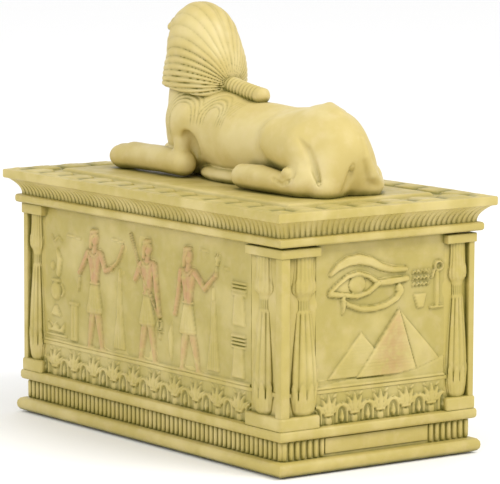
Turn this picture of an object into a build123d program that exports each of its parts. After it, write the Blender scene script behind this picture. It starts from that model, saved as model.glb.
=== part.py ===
from build123d import *
import os

# Bubbling ornament: a cast-resin casket with a lift-off lid that carries a reclining sphinx.
# The origin is the centre of the footprint at the surface that the ornament stands on.
# +X runs along the casket, away from the sphinx's face, and +Y points to its back. Millimetres.

# ---- Driving dimensions ----
case_length = 160.0
case_depth = 86.0
case_top = 76.8
wall_inset = 4.0
wall_thickness = 7.0
floor_bottom = 9.0
floor_top = 12.5
outlet_drop = 0.6
seam = 0.1

# Plinth, from the bottom up: each level's height and how far it stands in from the plinth's edge.
pad_proud = 0.5
plinth_edge_top = 5.4
plinth_edge_fillet = 2.0
quirk_top = 5.9
quirk_inset = 3.4
reed_band_top = 12.1
reed_band_inset = 2.6
ledge_top = 15.8
ledge_inset = 1.1
ledge_fillet = 0.8

# Corner blocks, columns and the frame line round each wall. Opposite corners are alike: the front
# right and back left ones are broad, the other two narrow. Each is given as its length along the
# long wall, its length along the end wall, the columns' places on them and the columns' size.
broad_corner = {"long": 20.5, "end": 16.5, "long_axis": 13.1, "end_axis": 11.1, "size": 1.0}
narrow_corner = {"long": 13.0, "end": 12.8, "long_axis": 6.9, "end_axis": 6.8, "size": 0.77}
block_inset = 1.4
base_block_top = 20.1
abacus_bottom = 73.0
column_set_back = 3.2
column_flatness = 0.5
shaft_base_radius = 3.9
shaft_swell_radius = 5.2
neck_radius = 2.5
bud_radius = 4.6
bud_top_radius = 3.9
sheath_height = 9.5
neck_bottom = 55.0
neck_top = 58.7
bud_swell = 62.8
ridge_width = 3.4
ridge_inset = 0.5
frame_bottom = 26.5
frame_top = 28.0
frame_proud = 0.5

# Lid, from the seam up.
bead_height = 3.0
bead_overhang = 0.2
bead_fillet = 1.2
throat_inset = 1.2
cavetto_overhang = 2.6
cavetto_power = 2.2
cavetto_courses = 5
cavetto_top = 85.6
fascia_overhang = 3.4
fascia_top = 88.9
fascia_fillet = 0.7
platform_height = 0.8
platform_margin = 18.0
lip_depth = 4.0
lip_thickness = 3.0
lip_clearance = 0.6
lid_ceiling = 84.4

# Sphinx: each rounded mass by its centre and radii. Side masses stand at +Y and are mirrored.
middle_masses = {
    "chest": ((-23.0, 0, 106.0), (13.5, 13.5, 17.0)),
    "ribs": ((4.0, 0, 104.5), (26.0, 14.2, 13.8)),
    "loin": ((28.0, 0, 104.0), (20.0, 12.0, 13.2)),
    "rump": ((47.0, 0, 104.0), (19.0, 13.5, 15.0)),
    "hump": ((-10.0, 0, 112.0), (14.0, 10.0, 9.0)),
    "headcloth": ((-22.5, 0, 125.0), (16.0, 14.3, 21.0)),
    "crown": ((-24.5, 0, 138.3), (13.0, 11.2, 12.7)),
    "face": ((-30.0, 0, 134.0), (9.5, 9.0, 12.5)),
    "nose": ((-38.6, 0, 132.0), (2.0, 1.8, 3.2)),
}
side_masses = {
    "shoulder": ((-18.0, 10.2, 109.0), (11.0, 6.2, 8.0)),
    "paw": ((-55.0, 11.5, 93.8), (7.2, 5.4, 4.6)),
    "thigh": ((43.0, 10.2, 105.6), (16.5, 7.4, 9.0)),
    "buttock": ((58.5, 8.5, 98.5), (6.6, 5.6, 9.0)),
}
# Limbs by their radius and the points that they pass through.
side_limbs = {
    "upper_arm": (3.6, ((-18.4, 11.6, 107.0), (-18.4, 12.6, 95.0))),
    "foreleg": (4.8, ((-18.2, 12.6, 94.8), (-50.0, 11.5, 94.4))),
    "hind_foot": (4.4, ((22.6, 16.4, 94.2), (55.6, 14.2, 94.4))),
}
tail_radius = 2.1
tail_path = (
    (64.8, 1.6, 108.0), (66.2, 3.0, 102.0), (65.6, 7.2, 96.0), (61.5, 13.0, 92.6), (53.0, 18.2, 92.6),
    (44.0, 19.6, 94.0), (41.5, 18.4, 100.0), (42.5, 15.2, 108.0), (45.4, 8.4, 115.4), (48.0, 1.5, 118.2),
)
queue_radius = 2.7
queue_path = ((-9.0, 0, 121.8), (12.0, 0, 120.4))

# Sphinx pegs in the lid.
peg_radius = 2.9
socket_radius = 3.0
peg_depth = 3.6
socket_depth = 3.8
peg_places = (-24.0, 44.0)

# Foot pads.
pad_radius = 5.0
pad_height = 1.5
pad_socket_radius = 5.1
pad_margin_x = 12.0
pad_margin_y = 11.0
pad_boss = 18.0
recess_wall = 8.0

# Air kit.
inlet_y = 16.0
inlet_axis_z = 4.8
spigot_radius = 2.15
spigot_tip_y = 34.0
spigot_chamfer = 0.6
collar_side = 6.8
collar_end_y = 20.0
air_way_radius = 1.2
elbow_radius = 3.5
stem_radius = 3.4
stem_hole_radius = 3.5
flange_radius = 6.5
flange_height = 1.2
washer_height = 0.8
nut_height = 3.5
nut_across_flats = 11.0
stem_top = 18.0
nipple_top = 22.0
sleeve_radius = 3.2
sleeve_bend = 8.0
sleeve_straight = 4.0
sleeve_bottom = 18.0
notch_width = 12.0
notch_height = 8.0
stone_radius = 7.5
stone_length = 40.0
cap_radius = 8.2
cap_length = 4.0
cap_socket = 2.0
cradle_width = 5.0
cradle_ring_radius = 9.2
cradle_opening = 11.0
cradle_foot_depth = 16.0
cradle_foot_height = 2.0
cradle_post = 5.0
cradle_end_gap = 7.0

# ---- Derived dimensions ----
half_length = case_length / 2
half_depth = case_depth / 2
wall_x = half_length - wall_inset
wall_y = half_depth - wall_inset
cavity_x = wall_x - wall_thickness
cavity_y = wall_y - wall_thickness
lid_bottom = case_top + seam
bead_top = lid_bottom + bead_height
platform_top = fascia_top + platform_height
sleeve_axis_z = nipple_top + sleeve_bend
stone_start = sleeve_bend + sleeve_straight + cap_length - cap_socket
stone_end = stone_start + stone_length

os.makedirs("parts", exist_ok=True)


def between(x_low, x_high, y_low, y_high, z_low, z_high):
    """Box between two corners."""
    centre = ((x_low + x_high) / 2, (y_low + y_high) / 2, (z_low + z_high) / 2)
    return Pos(*centre) * Box(x_high - x_low, y_high - y_low, z_high - z_low)


def slab(half_x, half_y, z_low, z_high):
    """Box centred on the origin in plan."""
    return between(-half_x, half_x, -half_y, half_y, z_low, z_high)


def level(overhang, z_low, z_high, fillet_radius=0.0):
    """One moulding of the casket, standing out from the plinth's edge by overhang, edges rounded."""
    body = slab(half_length + overhang, half_depth + overhang, z_low, z_high)
    if fillet_radius:
        body = fillet(body.edges().filter_by(Plane.XY), fillet_radius)
    return body


def at_corners(shape):
    """The shape made for the +X +Y corner, repeated at all four corners."""
    across = shape + mirror(shape, Plane.YZ)
    return across + mirror(across, Plane.XZ)


def along(start, end, radius):
    """Round bar between two points."""
    direction = Vector(*end) - Vector(*start)
    return Plane(origin=start, z_dir=direction) * Cylinder(
        radius, direction.length, align=(Align.CENTER, Align.CENTER, Align.MIN)
    )


def ellipsoid(centre, radii):
    """Ellipsoid with its axes along X, Y and Z."""
    return Pos(*centre) * scale(Sphere(1.0), by=radii)


# ---- Casket ----
def plinth():
    """Bull-nosed edge, quirk, reed band and ledge."""
    return (
        level(0.0, pad_proud, plinth_edge_top, plinth_edge_fillet)
        + level(-quirk_inset, plinth_edge_top, quirk_top)
        + level(-reed_band_inset, quirk_top, reed_band_top)
        + level(-ledge_inset, reed_band_top, ledge_top, ledge_fillet)
    )


def column(size):
    """Papyrus-bud column standing on its corner block, flattened against the wall behind it (in Y)."""
    profile = Polyline(
        (0, base_block_top),
        (shaft_base_radius * size, base_block_top),
        (shaft_swell_radius * size, base_block_top + sheath_height),
        (neck_radius * size, neck_bottom),
        (neck_radius * size, neck_top),
        (bud_radius * size, bud_swell),
        (bud_top_radius * size, abacus_bottom),
        (0, abacus_bottom),
        (0, base_block_top),
    )
    return scale(revolve(Plane.XZ * make_face(profile), Axis.Z), by=(1, column_flatness, 1))


def corner(kind):
    """The +X -Y corner: base and abacus blocks, the ridge and a column on each face."""
    block_x = half_length - block_inset
    block_y = half_depth - block_inset
    ridge_x = block_x - ridge_inset
    ridge_y = block_y - ridge_inset
    low_x = block_x - kind["long"]
    low_y = block_y - kind["end"]
    base = between(low_x, block_x, -block_y, -low_y, ledge_top, base_block_top)
    abacus = between(low_x, block_x, -block_y, -low_y, abacus_bottom, case_top)
    ridge = between(
        ridge_x - ridge_width, ridge_x, -ridge_y, ridge_width - ridge_y, base_block_top, abacus_bottom
    )
    shaft = column(kind["size"])
    on_long_face = Pos(block_x - kind["long_axis"], column_set_back - block_y, 0) * shaft
    on_end_face = Pos(block_x - column_set_back, kind["end_axis"] - block_y, 0) * Rot(0, 0, 90) * shaft
    return base + abacus + ridge + on_long_face + on_end_face


def corners():
    """All four corners, alike across the middle."""
    broad = corner(broad_corner)
    narrow = mirror(corner(narrow_corner), Plane.YZ)
    half_turn = Rot(0, 0, 180)
    return broad + narrow + half_turn * broad + half_turn * narrow


def notch():
    """Arched way through the plinth's back for the airline."""
    arch_radius = notch_width / 2
    spring = pad_proud + notch_height - arch_radius
    through = (half_depth - recess_wall - 1, half_depth + 1)
    legs = between(-arch_radius, arch_radius, *through, pad_proud - 1, spring)
    return legs + along((0, through[0], spring), (0, through[1], spring), arch_radius)


def pad_centre():
    """Place in plan of the +X +Y foot pad."""
    return (half_length - pad_margin_x, half_depth - pad_margin_y)


def underside():
    """Recess under the floor, less the bosses that carry the foot pads."""
    recess = slab(half_length - recess_wall, half_depth - recess_wall, pad_proud - 1, floor_bottom)
    boss = between(
        half_length - pad_boss, half_length, half_depth - pad_boss, half_depth, pad_proud - 2, floor_bottom
    )
    return recess - at_corners(boss)


def case_shell():
    """The casket casting, open at the top, with a lower rim at the +X end where the bubbles leave."""
    body = plinth() + slab(wall_x, wall_y, ledge_top, case_top)
    body += slab(wall_x + frame_proud, wall_y + frame_proud, frame_bottom, frame_top)
    body += corners()
    body -= slab(cavity_x, cavity_y, floor_top, case_top + 1)
    body -= underside()
    body -= notch()
    body -= between(
        cavity_x - 1, half_length, -half_depth, half_depth, case_top - outlet_drop, case_top + 1
    )
    body -= Pos(0, inlet_y, 0) * Cylinder(stem_hole_radius, 4 * floor_top)
    socket_x, socket_y = pad_centre()
    socket = along((socket_x, socket_y, pad_proud - 1), (socket_x, socket_y, pad_height), pad_socket_radius)
    return body - at_corners(socket)


def foot_pad(side_x, side_y):
    """Soft round pad, bonded in its socket and standing proud of the plinth."""
    centre_x, centre_y = pad_centre()
    place = (side_x * centre_x, side_y * centre_y)
    return along((*place, 0), (*place, pad_height), pad_radius)


# ---- Lid ----
def cavetto():
    """Hollow moulding that flares from the bead up to the fascia."""
    rise = cavetto_top - bead_top
    reach = cavetto_overhang + throat_inset
    flare = None
    for step in range(cavetto_courses):
        low = step / cavetto_courses
        high = (step + 1) / cavetto_courses
        bottom = reach * low**cavetto_power - throat_inset
        top = reach * high**cavetto_power - throat_inset
        foot = Pos(0, 0, bead_top + rise * low) * Rectangle(case_length + 2 * bottom, case_depth + 2 * bottom)
        head = Pos(0, 0, bead_top + rise * high) * Rectangle(case_length + 2 * top, case_depth + 2 * top)
        course = loft([foot.face(), head.face()])
        flare = course if flare is None else flare + course
    return flare


def locating_lip():
    """Rim under the lid that drops inside the casket's walls, with its hollow."""
    outer_x = cavity_x - lip_clearance
    outer_y = cavity_y - lip_clearance
    return slab(outer_x, outer_y, lid_bottom - lip_depth, lid_bottom)


def lid_casting():
    """The lid: lip, bead, cavetto, fascia and a low platform, hollow underneath."""
    body = level(bead_overhang, lid_bottom, bead_top, bead_fillet) + cavetto()
    body += level(fascia_overhang, cavetto_top, fascia_top, fascia_fillet)
    platform_x = half_length + fascia_overhang - platform_margin
    platform_y = half_depth + fascia_overhang - platform_margin
    body += slab(platform_x, platform_y, fascia_top, platform_top)
    body += locating_lip()
    hollow_x = cavity_x - lip_clearance - lip_thickness
    hollow_y = cavity_y - lip_clearance - lip_thickness
    body -= slab(hollow_x, hollow_y, lid_bottom - lip_depth - 1, lid_ceiling)
    for place in peg_places:
        body -= along((place, 0, platform_top - socket_depth), (place, 0, platform_top + 1), socket_radius)
    return body


# ---- Sphinx ----
def limb(radius, points):
    """Round limb through several points, its ends and bends domed."""
    body = Pos(*points[0]) * Sphere(radius)
    for start, end in zip(points, points[1:]):
        body += along(start, end, radius) + Pos(*end) * Sphere(radius)
    return body


def sphinx_side():
    """Shoulder, foreleg, thigh and folded hind leg of the +Y side."""
    side = None
    for centre, radii in side_masses.values():
        mass = ellipsoid(centre, radii)
        side = mass if side is None else side + mass
    for radius, points in side_limbs.values():
        side += limb(radius, points)
    return side


def sphinx_figure():
    """The whole figure, cut flat where it is bonded to the lid, with its two pegs."""
    side = sphinx_side()
    figure = side + mirror(side, Plane.XZ)
    for centre, radii in middle_masses.values():
        figure += ellipsoid(centre, radii)
    figure += limb(tail_radius, tail_path)
    figure += limb(queue_radius, queue_path)
    reach = case_length
    figure -= between(-reach, reach, -reach, reach, 0, platform_top)
    for place in peg_places:
        figure += along((place, 0, platform_top - peg_depth), (place, 0, platform_top + peg_depth), peg_radius)
    return figure


# ---- Air kit ----
def inlet_elbow():
    """Bulkhead elbow: spigot towards the notch, flange under the floor, stem and nipple above it."""
    spigot = along((0, inlet_y, inlet_axis_z), (0, spigot_tip_y, inlet_axis_z), spigot_radius)
    tip = spigot.edges().filter_by(GeomType.CIRCLE).sort_by(Axis.Y)[-1]
    spigot = chamfer(tip, spigot_chamfer)
    body = along((0, inlet_y, inlet_axis_z - elbow_radius), (0, inlet_y, floor_bottom), elbow_radius)
    body += along((0, inlet_y, floor_bottom - flange_height), (0, inlet_y, floor_bottom), flange_radius)
    body += along((0, inlet_y, floor_bottom), (0, inlet_y, stem_top), stem_radius)
    body += along((0, inlet_y, stem_top), (0, inlet_y, nipple_top), spigot_radius)
    half_collar = collar_side / 2
    body += between(
        -half_collar, half_collar, inlet_y, collar_end_y, inlet_axis_z - half_collar, inlet_axis_z + half_collar
    )
    body += spigot
    body -= along((0, inlet_y, inlet_axis_z), (0, spigot_tip_y + 1, inlet_axis_z), air_way_radius)
    return body - along((0, inlet_y, inlet_axis_z), (0, inlet_y, nipple_top + 1), air_way_radius)


def inlet_washer():
    """Flat sealing ring on the floor."""
    top = floor_top + washer_height
    ring = along((0, inlet_y, floor_top), (0, inlet_y, top), flange_radius)
    return ring - along((0, inlet_y, floor_top - 1), (0, inlet_y, top + 1), stem_radius)


def inlet_nut():
    """Hexagon nut that clamps the elbow to the floor."""
    seat = floor_top + washer_height
    hexagon = RegularPolygon(nut_across_flats / 2, 6, major_radius=False)
    nut = extrude(Pos(0, inlet_y, seat) * hexagon, nut_height)
    return nut - along((0, inlet_y, seat - 1), (0, inlet_y, seat + nut_height + 1), stem_radius)


def coupling_sleeve():
    """Soft tube that turns the air from the upright nipple to the lying stone."""
    turn_start = (0, inlet_y, nipple_top)
    turn_middle_x = sleeve_bend * (1 - 0.5**0.5)
    turn_middle = (turn_middle_x, inlet_y, sleeve_axis_z - turn_middle_x)
    turn_end = (sleeve_bend, inlet_y, sleeve_axis_z)
    rise = Line((0, inlet_y, sleeve_bottom), turn_start)
    turn = ThreePointArc(turn_start, turn_middle, turn_end)
    run = Line(turn_end, (sleeve_bend + sleeve_straight, inlet_y, sleeve_axis_z))
    path = rise + turn + run
    section = Plane(origin=(0, inlet_y, sleeve_bottom)) * (Circle(sleeve_radius) - Circle(spigot_radius))
    return sweep(section, path)


def stone_end_cap():
    """Moulded cap with the nipple that the sleeve grips."""
    cap_start = sleeve_bend + sleeve_straight
    centre = (inlet_y, sleeve_axis_z)
    cap = along((cap_start, *centre), (cap_start + cap_length, *centre), cap_radius)
    cap -= along((stone_start, *centre), (cap_start + cap_length + 1, *centre), stone_radius)
    cap += along((sleeve_bend, *centre), (cap_start, *centre), spigot_radius)
    return cap - along((sleeve_bend - 1, *centre), (stone_start + 1, *centre), air_way_radius)


def air_stone():
    """Sintered stone that breaks the air into bubbles."""
    return along((stone_start, inlet_y, sleeve_axis_z), (stone_end, inlet_y, sleeve_axis_z), stone_radius)


def stone_cradle(centre_x):
    """Open ring on a post and foot that holds the stone off the floor."""
    x_low = centre_x - cradle_width / 2
    x_high = centre_x + cradle_width / 2
    ring = along((x_low, inlet_y, sleeve_axis_z), (x_high, inlet_y, sleeve_axis_z), cradle_ring_radius)
    post = between(
        x_low, x_high, inlet_y - cradle_post / 2, inlet_y + cradle_post / 2, floor_top, sleeve_axis_z
    )
    foot = between(
        x_low, x_high, inlet_y - cradle_foot_depth / 2, inlet_y + cradle_foot_depth / 2,
        floor_top, floor_top + cradle_foot_height,
    )
    mouth = between(
        x_low - 1, x_high + 1, inlet_y - cradle_opening / 2, inlet_y + cradle_opening / 2,
        sleeve_axis_z, sleeve_axis_z + 2 * cradle_ring_radius,
    )
    bore = along((x_low - 1, inlet_y, sleeve_axis_z), (x_high + 1, inlet_y, sleeve_axis_z), stone_radius)
    return ring + post + foot - mouth - bore


def write_parts():
    """Make every node and write its STEP file."""
    nodes = {
        "case_shell": case_shell(),
        "lid_casting": lid_casting(),
        "sphinx_figure": sphinx_figure(),
        "foot_pad_front_left": foot_pad(-1, -1),
        "foot_pad_front_right": foot_pad(1, -1),
        "foot_pad_rear_left": foot_pad(-1, 1),
        "foot_pad_rear_right": foot_pad(1, 1),
        "inlet_elbow": inlet_elbow(),
        "inlet_washer": inlet_washer(),
        "inlet_nut": inlet_nut(),
        "coupling_sleeve": coupling_sleeve(),
        "stone_end_cap": stone_end_cap(),
        "air_stone": air_stone(),
        "stone_cradle_inner": stone_cradle(stone_start + cradle_end_gap + cradle_width),
        "stone_cradle_outer": stone_cradle(stone_end - cradle_end_gap),
    }
    for name, shape in nodes.items():
        export_step(shape, f"parts/{name}.step")


write_parts()
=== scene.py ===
"""Looks of the casket ornament: a relief casket, its lift-off lid and the reclining sphinx on it."""

import logging
import math
from contextlib import contextmanager
from dataclasses import dataclass, field
from enum import Enum
from typing import Callable, Iterator, Sequence

import bpy
import numpy as np
from mathutils import Matrix, Vector


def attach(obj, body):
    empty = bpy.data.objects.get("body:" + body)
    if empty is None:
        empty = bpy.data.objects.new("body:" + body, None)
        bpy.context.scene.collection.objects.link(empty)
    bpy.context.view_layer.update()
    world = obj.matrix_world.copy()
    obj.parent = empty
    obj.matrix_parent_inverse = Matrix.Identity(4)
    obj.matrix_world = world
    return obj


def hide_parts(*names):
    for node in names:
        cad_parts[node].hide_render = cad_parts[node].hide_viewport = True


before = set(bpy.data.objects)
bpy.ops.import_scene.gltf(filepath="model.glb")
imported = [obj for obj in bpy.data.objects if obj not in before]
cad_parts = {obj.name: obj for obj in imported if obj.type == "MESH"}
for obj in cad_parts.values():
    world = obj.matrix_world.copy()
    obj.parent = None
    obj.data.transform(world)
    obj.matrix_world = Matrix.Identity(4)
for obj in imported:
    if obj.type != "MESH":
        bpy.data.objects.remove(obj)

MM = 0.001
LOG = logging.getLogger("casket")
Point2 = tuple[float, float]
Point3 = tuple[float, float, float]
Level = tuple[float, float, float]
Array = np.ndarray
Move = Callable[[Array], Array]


class Body(Enum):
    """The two bodies that the lid's lift parts."""

    CASE = "case"
    LID = "lid"


class Side(Enum):
    """The four walls, by the direction they face."""

    FRONT = (0, -1)
    BACK = (0, 1)
    RIGHT = (1, 0)
    LEFT = (-1, 0)


# ---------------------------------------------------------------- bench tools


def select_only(piece: bpy.types.Object) -> None:
    """Makes one piece the active and only selected object."""
    bpy.ops.object.select_all(action="DESELECT")
    piece.select_set(True)
    bpy.context.view_layer.objects.active = piece


@contextmanager
def editing(piece: bpy.types.Object) -> Iterator[None]:
    """Edit mode on one piece with all of its mesh selected.

    Args:
        piece: The mesh object to edit.
    """
    select_only(piece)
    bpy.ops.object.mode_set(mode="EDIT")
    bpy.ops.mesh.select_all(action="SELECT")
    yield
    bpy.ops.object.mode_set(mode="OBJECT")


def get_points(piece: bpy.types.Object) -> Array:
    """Returns the piece's vertices as an (n, 3) array."""
    flat = np.empty(len(piece.data.vertices) * 3)
    piece.data.vertices.foreach_get("co", flat)
    return flat.reshape(-1, 3)


def set_points(piece: bpy.types.Object, points: Array) -> None:
    """Moves the piece's vertices to the given points."""
    piece.data.vertices.foreach_set("co", np.ascontiguousarray(points).ravel())
    piece.data.update()


def paint(piece: bpy.types.Object, name: str, values: Array) -> None:
    """Stores one number per vertex as a named attribute.

    Args:
        piece: The mesh object.
        name: The attribute's name, which the materials read.
        values: One number for each vertex.
    """
    layer = piece.data.attributes.get(name) or piece.data.attributes.new(name, "FLOAT", "POINT")
    layer.data.foreach_set("value", np.asarray(values, np.float32))


def finish_modifier(piece: bpy.types.Object, kind: str, **settings: object) -> None:
    """Adds one modifier, sets it and applies it.

    Args:
        piece: The mesh object.
        kind: The modifier's type.
        settings: The modifier's properties by name.
    """
    select_only(piece)
    modifier = piece.modifiers.new(kind.title(), kind)
    for key, value in settings.items():
        setattr(modifier, key, value)
    bpy.ops.object.modifier_apply(modifier=modifier.name)


def join(pieces: Sequence[bpy.types.Object], name: str) -> bpy.types.Object:
    """Joins several mesh objects into the first.

    Args:
        pieces: The objects to join.
        name: The name of the result.

    Returns:
        The joined object.
    """
    select_only(pieces[0])
    for piece in pieces[1:]:
        piece.select_set(True)
    bpy.ops.object.join()
    pieces[0].name = name
    return pieces[0]


def stack_solid(name: str, levels: Sequence[Level], sides: int = 4) -> bpy.types.Object:
    """Draws one closed solid out of a single face, level by level.

    Args:
        name: The name of the piece.
        levels: Half length, half depth and height of each level, from the first face to the last.
        sides: 4 for a rectangle, or the number of corners of a round outline.

    Returns:
        The solid, in millimetres.
    """
    half_x, half_y, height = levels[0]
    if sides == 4:
        bpy.ops.mesh.primitive_plane_add(size=2, location=(0, 0, height))
    else:
        bpy.ops.mesh.primitive_circle_add(vertices=sides, radius=1, fill_type="NGON", location=(0, 0, height))
    piece = bpy.context.object
    piece.name = name
    with editing(piece):
        bpy.ops.transform.resize(value=(half_x, half_y, 1), center_override=(0, 0, 0))
        for before, after in zip(levels, levels[1:]):
            bpy.ops.mesh.extrude_region_move(TRANSFORM_OT_translate={"value": (0, 0, after[2] - before[2])})
            growth = (after[0] / before[0], after[1] / before[1], 1)
            bpy.ops.transform.resize(value=growth, center_override=(0, 0, after[2]))
    select_only(piece)
    bpy.ops.object.transform_apply(location=True, rotation=True, scale=True)
    with editing(piece):
        bpy.ops.mesh.normals_make_consistent(inside=False)
    return piece


def moulded(half: Point2, profile: Sequence[Point2]) -> list[Level]:
    """Levels of a moulding that runs round a rectangle.

    Args:
        half: The rectangle's half length and half depth.
        profile: How far each level stands out of the rectangle, and its height.

    Returns:
        The levels for stack_solid.
    """
    return [(half[0] + out, half[1] + out, height) for out, height in profile]


def block(name: str, low: Point3, high: Point3, bevel: float = 0.35) -> bpy.types.Object:
    """Box between two corners with softened edges.

    Args:
        name: The name of the piece.
        low: The lowest corner.
        high: The highest corner.
        bevel: The width of the softened edges.

    Returns:
        The box, in millimetres.
    """
    centre = [(a + b) / 2 for a, b in zip(low, high)]
    bpy.ops.mesh.primitive_cube_add(size=1, location=centre)
    piece = bpy.context.object
    piece.name = name
    piece.scale = [b - a for a, b in zip(low, high)]
    bpy.ops.object.transform_apply(location=True, rotation=True, scale=True)
    finish_modifier(piece, "BEVEL", width=bevel, segments=3, limit_method="ANGLE")
    return piece


def copies(master: bpy.types.Object, name: str, moves: Sequence[Move]) -> bpy.types.Object:
    """Copies a modelled piece to several places and joins the copies.

    Args:
        master: The piece to repeat. It is used up.
        name: The name of the joined result.
        moves: One function for each copy, from the master's points to the copy's.

    Returns:
        The joined copies.
    """
    source = get_points(master)
    placed = []
    for move in moves:
        copy = master.copy()
        copy.data = master.data.copy()
        bpy.context.collection.objects.link(copy)
        set_points(copy, move(source))
        placed.append(copy)
    bpy.data.objects.remove(master)
    return join(placed, name)


def settle(piece: bpy.types.Object, body: Body, smooth_deg: float = 42.0) -> bpy.types.Object:
    """Brings a piece made in millimetres to its final size, shading and body.

    Args:
        piece: The piece.
        body: The body that carries it.
        smooth_deg: Edges sharper than this stay crisp.

    Returns:
        The same piece.
    """
    piece.data.transform(Matrix.Scale(MM, 4))
    with editing(piece):
        bpy.ops.mesh.normals_make_consistent(inside=False)
    select_only(piece)
    bpy.ops.object.shade_smooth_by_angle(angle=math.radians(smooth_deg))
    piece.data.name = piece.name
    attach(piece, body.value)
    LOG.info("%s: %d faces", piece.name, len(piece.data.polygons))
    return piece


def smoothstep(low: float, high: float, value: Array) -> Array:
    """Smooth ramp from 0 at low to 1 at high."""
    share = np.clip((value - low) / (high - low), 0, 1)
    return share * share * (3 - 2 * share)


# ---------------------------------------------------------------- finishes


@dataclass(frozen=True)
class CastResin:
    """Pale cast resin with an olive wash in its recesses, laid thicker by ambient occlusion and a painted
    attribute, so the olive there is also painted shade in crevices and gaps.

    Attributes:
        name: The material's name.
        ground: The resin's own colour.
        cream: The colour of broad, rubbed patches.
        blush: The colour of the worn high spots.
        wash_and_shade: The olive of the casting's wash, also used as painted shade in the recesses.
        earth: The terracotta of the painted skin.
        wash_everywhere: How much wash lies on open surfaces.
        crevice_mm: How far the ambient occlusion for the painted crevice shade reaches.
    """

    name: str
    ground: Point3 = (0.455, 0.362, 0.094)
    cream: Point3 = (0.56, 0.455, 0.165)
    blush: Point3 = (0.62, 0.48, 0.25)
    wash_and_shade: Point3 = (0.16, 0.145, 0.016)
    earth: Point3 = (0.47, 0.25, 0.11)
    wash_everywhere: float = 0.05
    crevice_mm: float = 2.2

    def build(self) -> bpy.types.Material:
        """Builds the node tree.

        Returns:
            The material.
        """
        material = bpy.data.materials.new(self.name)
        material.use_nodes = True
        tree = material.node_tree
        shader = tree.nodes["Principled BSDF"]
        place = tree.nodes.new("ShaderNodeTexCoord").outputs["Object"]

        def noise(scale: float, detail: float, rough: float = 0.5) -> bpy.types.NodeSocket:
            """Adds a noise over the object's own coordinates."""
            node = tree.nodes.new("ShaderNodeTexNoise")
            node.inputs["Scale"].default_value = scale
            node.inputs["Detail"].default_value = detail
            node.inputs["Roughness"].default_value = rough
            tree.links.new(place, node.inputs["Vector"])
            return node.outputs["Fac"]

        def ramp(source: bpy.types.NodeSocket, low: float, high: float, bottom: float = 0.0,
                 top: float = 1.0) -> bpy.types.NodeSocket:
            """Adds a smooth ramp from bottom to top as the source runs from low to high."""
            node = tree.nodes.new("ShaderNodeMapRange")
            node.interpolation_type = "SMOOTHSTEP"
            node.inputs["From Min"].default_value = low
            node.inputs["From Max"].default_value = high
            node.inputs["To Min"].default_value = bottom
            node.inputs["To Max"].default_value = top
            tree.links.new(source, node.inputs["Value"])
            return node.outputs["Result"]

        def maths(kind: str, first: bpy.types.NodeSocket, second: object) -> bpy.types.NodeSocket:
            """Adds a sum or product of a value and another value or number."""
            node = tree.nodes.new("ShaderNodeMath")
            node.operation = kind
            node.use_clamp = kind in ("ADD", "SUBTRACT")
            tree.links.new(first, node.inputs[0])
            if isinstance(second, float):
                node.inputs[1].default_value = second
            else:
                tree.links.new(second, node.inputs[1])
            return node.outputs[0]

        def blend(under: object, over: Point3, share: bpy.types.NodeSocket) -> bpy.types.NodeSocket:
            """Adds a mix that lays one colour over another by the given share."""
            node = tree.nodes.new("ShaderNodeMix")
            node.data_type = "RGBA"
            if isinstance(under, tuple):
                node.inputs["A"].default_value = (*under, 1)
            else:
                tree.links.new(under, node.inputs["A"])
            node.inputs["B"].default_value = (*over, 1)
            tree.links.new(share, node.inputs["Factor"])
            return node.outputs["Result"]

        def attribute(name: str) -> bpy.types.NodeSocket:
            """Adds a reader of one painted attribute."""
            node = tree.nodes.new("ShaderNodeAttribute")
            node.attribute_name = name
            return node.outputs["Fac"]

        # Ambient occlusion lays the olive into crevices and the gaps between pieces: painted shade on top of
        # the casting's real wash.
        crevice = tree.nodes.new("ShaderNodeAmbientOcclusion")
        crevice.samples = 8
        crevice.inputs["Distance"].default_value = self.crevice_mm * MM
        closed = ramp(crevice.outputs["AO"], 0.95, 0.35)
        patches = ramp(noise(55, 3), 0.42, 0.68)
        streaks = ramp(noise(240, 4, 0.6), 0.45, 0.75)
        colour = blend(self.ground, self.cream, patches)
        colour = blend(colour, self.blush, maths("MULTIPLY", streaks, 0.25))
        skin = maths("MULTIPLY", attribute("tint"), ramp(noise(420, 4), 0.2, 0.6))
        colour = blend(colour, self.earth, skin)
        # Olive share: painted crevice shade, plus the painted attribute that holds wash and painted shade,
        # plus a little wash everywhere.
        shade_and_wash_share = maths("ADD", maths("MULTIPLY", closed, 0.85), attribute("wash_and_shade"))
        shade_and_wash_share = maths("ADD", shade_and_wash_share, self.wash_everywhere)
        shade_and_wash_share = maths("MULTIPLY", shade_and_wash_share, ramp(noise(130, 5, 0.65), 0.1, 0.6, 0.35))
        colour = blend(colour, self.wash_and_shade, shade_and_wash_share)
        tree.links.new(colour, shader.inputs["Base Color"])
        tree.links.new(ramp(noise(300, 3), 0.2, 0.8, 0.42, 0.62), shader.inputs["Roughness"])
        grain = tree.nodes.new("ShaderNodeBump")
        grain.inputs["Strength"].default_value = 0.35
        grain.inputs["Distance"].default_value = 0.00012
        fine_grain = maths("MULTIPLY", noise(900, 3), 0.5)
        coarse_grain = maths("MULTIPLY", noise(260, 3), 0.5)
        tree.links.new(maths("ADD", fine_grain, coarse_grain), grain.inputs["Height"])
        tree.links.new(grain.outputs["Normal"], shader.inputs["Normal"])
        return material


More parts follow.
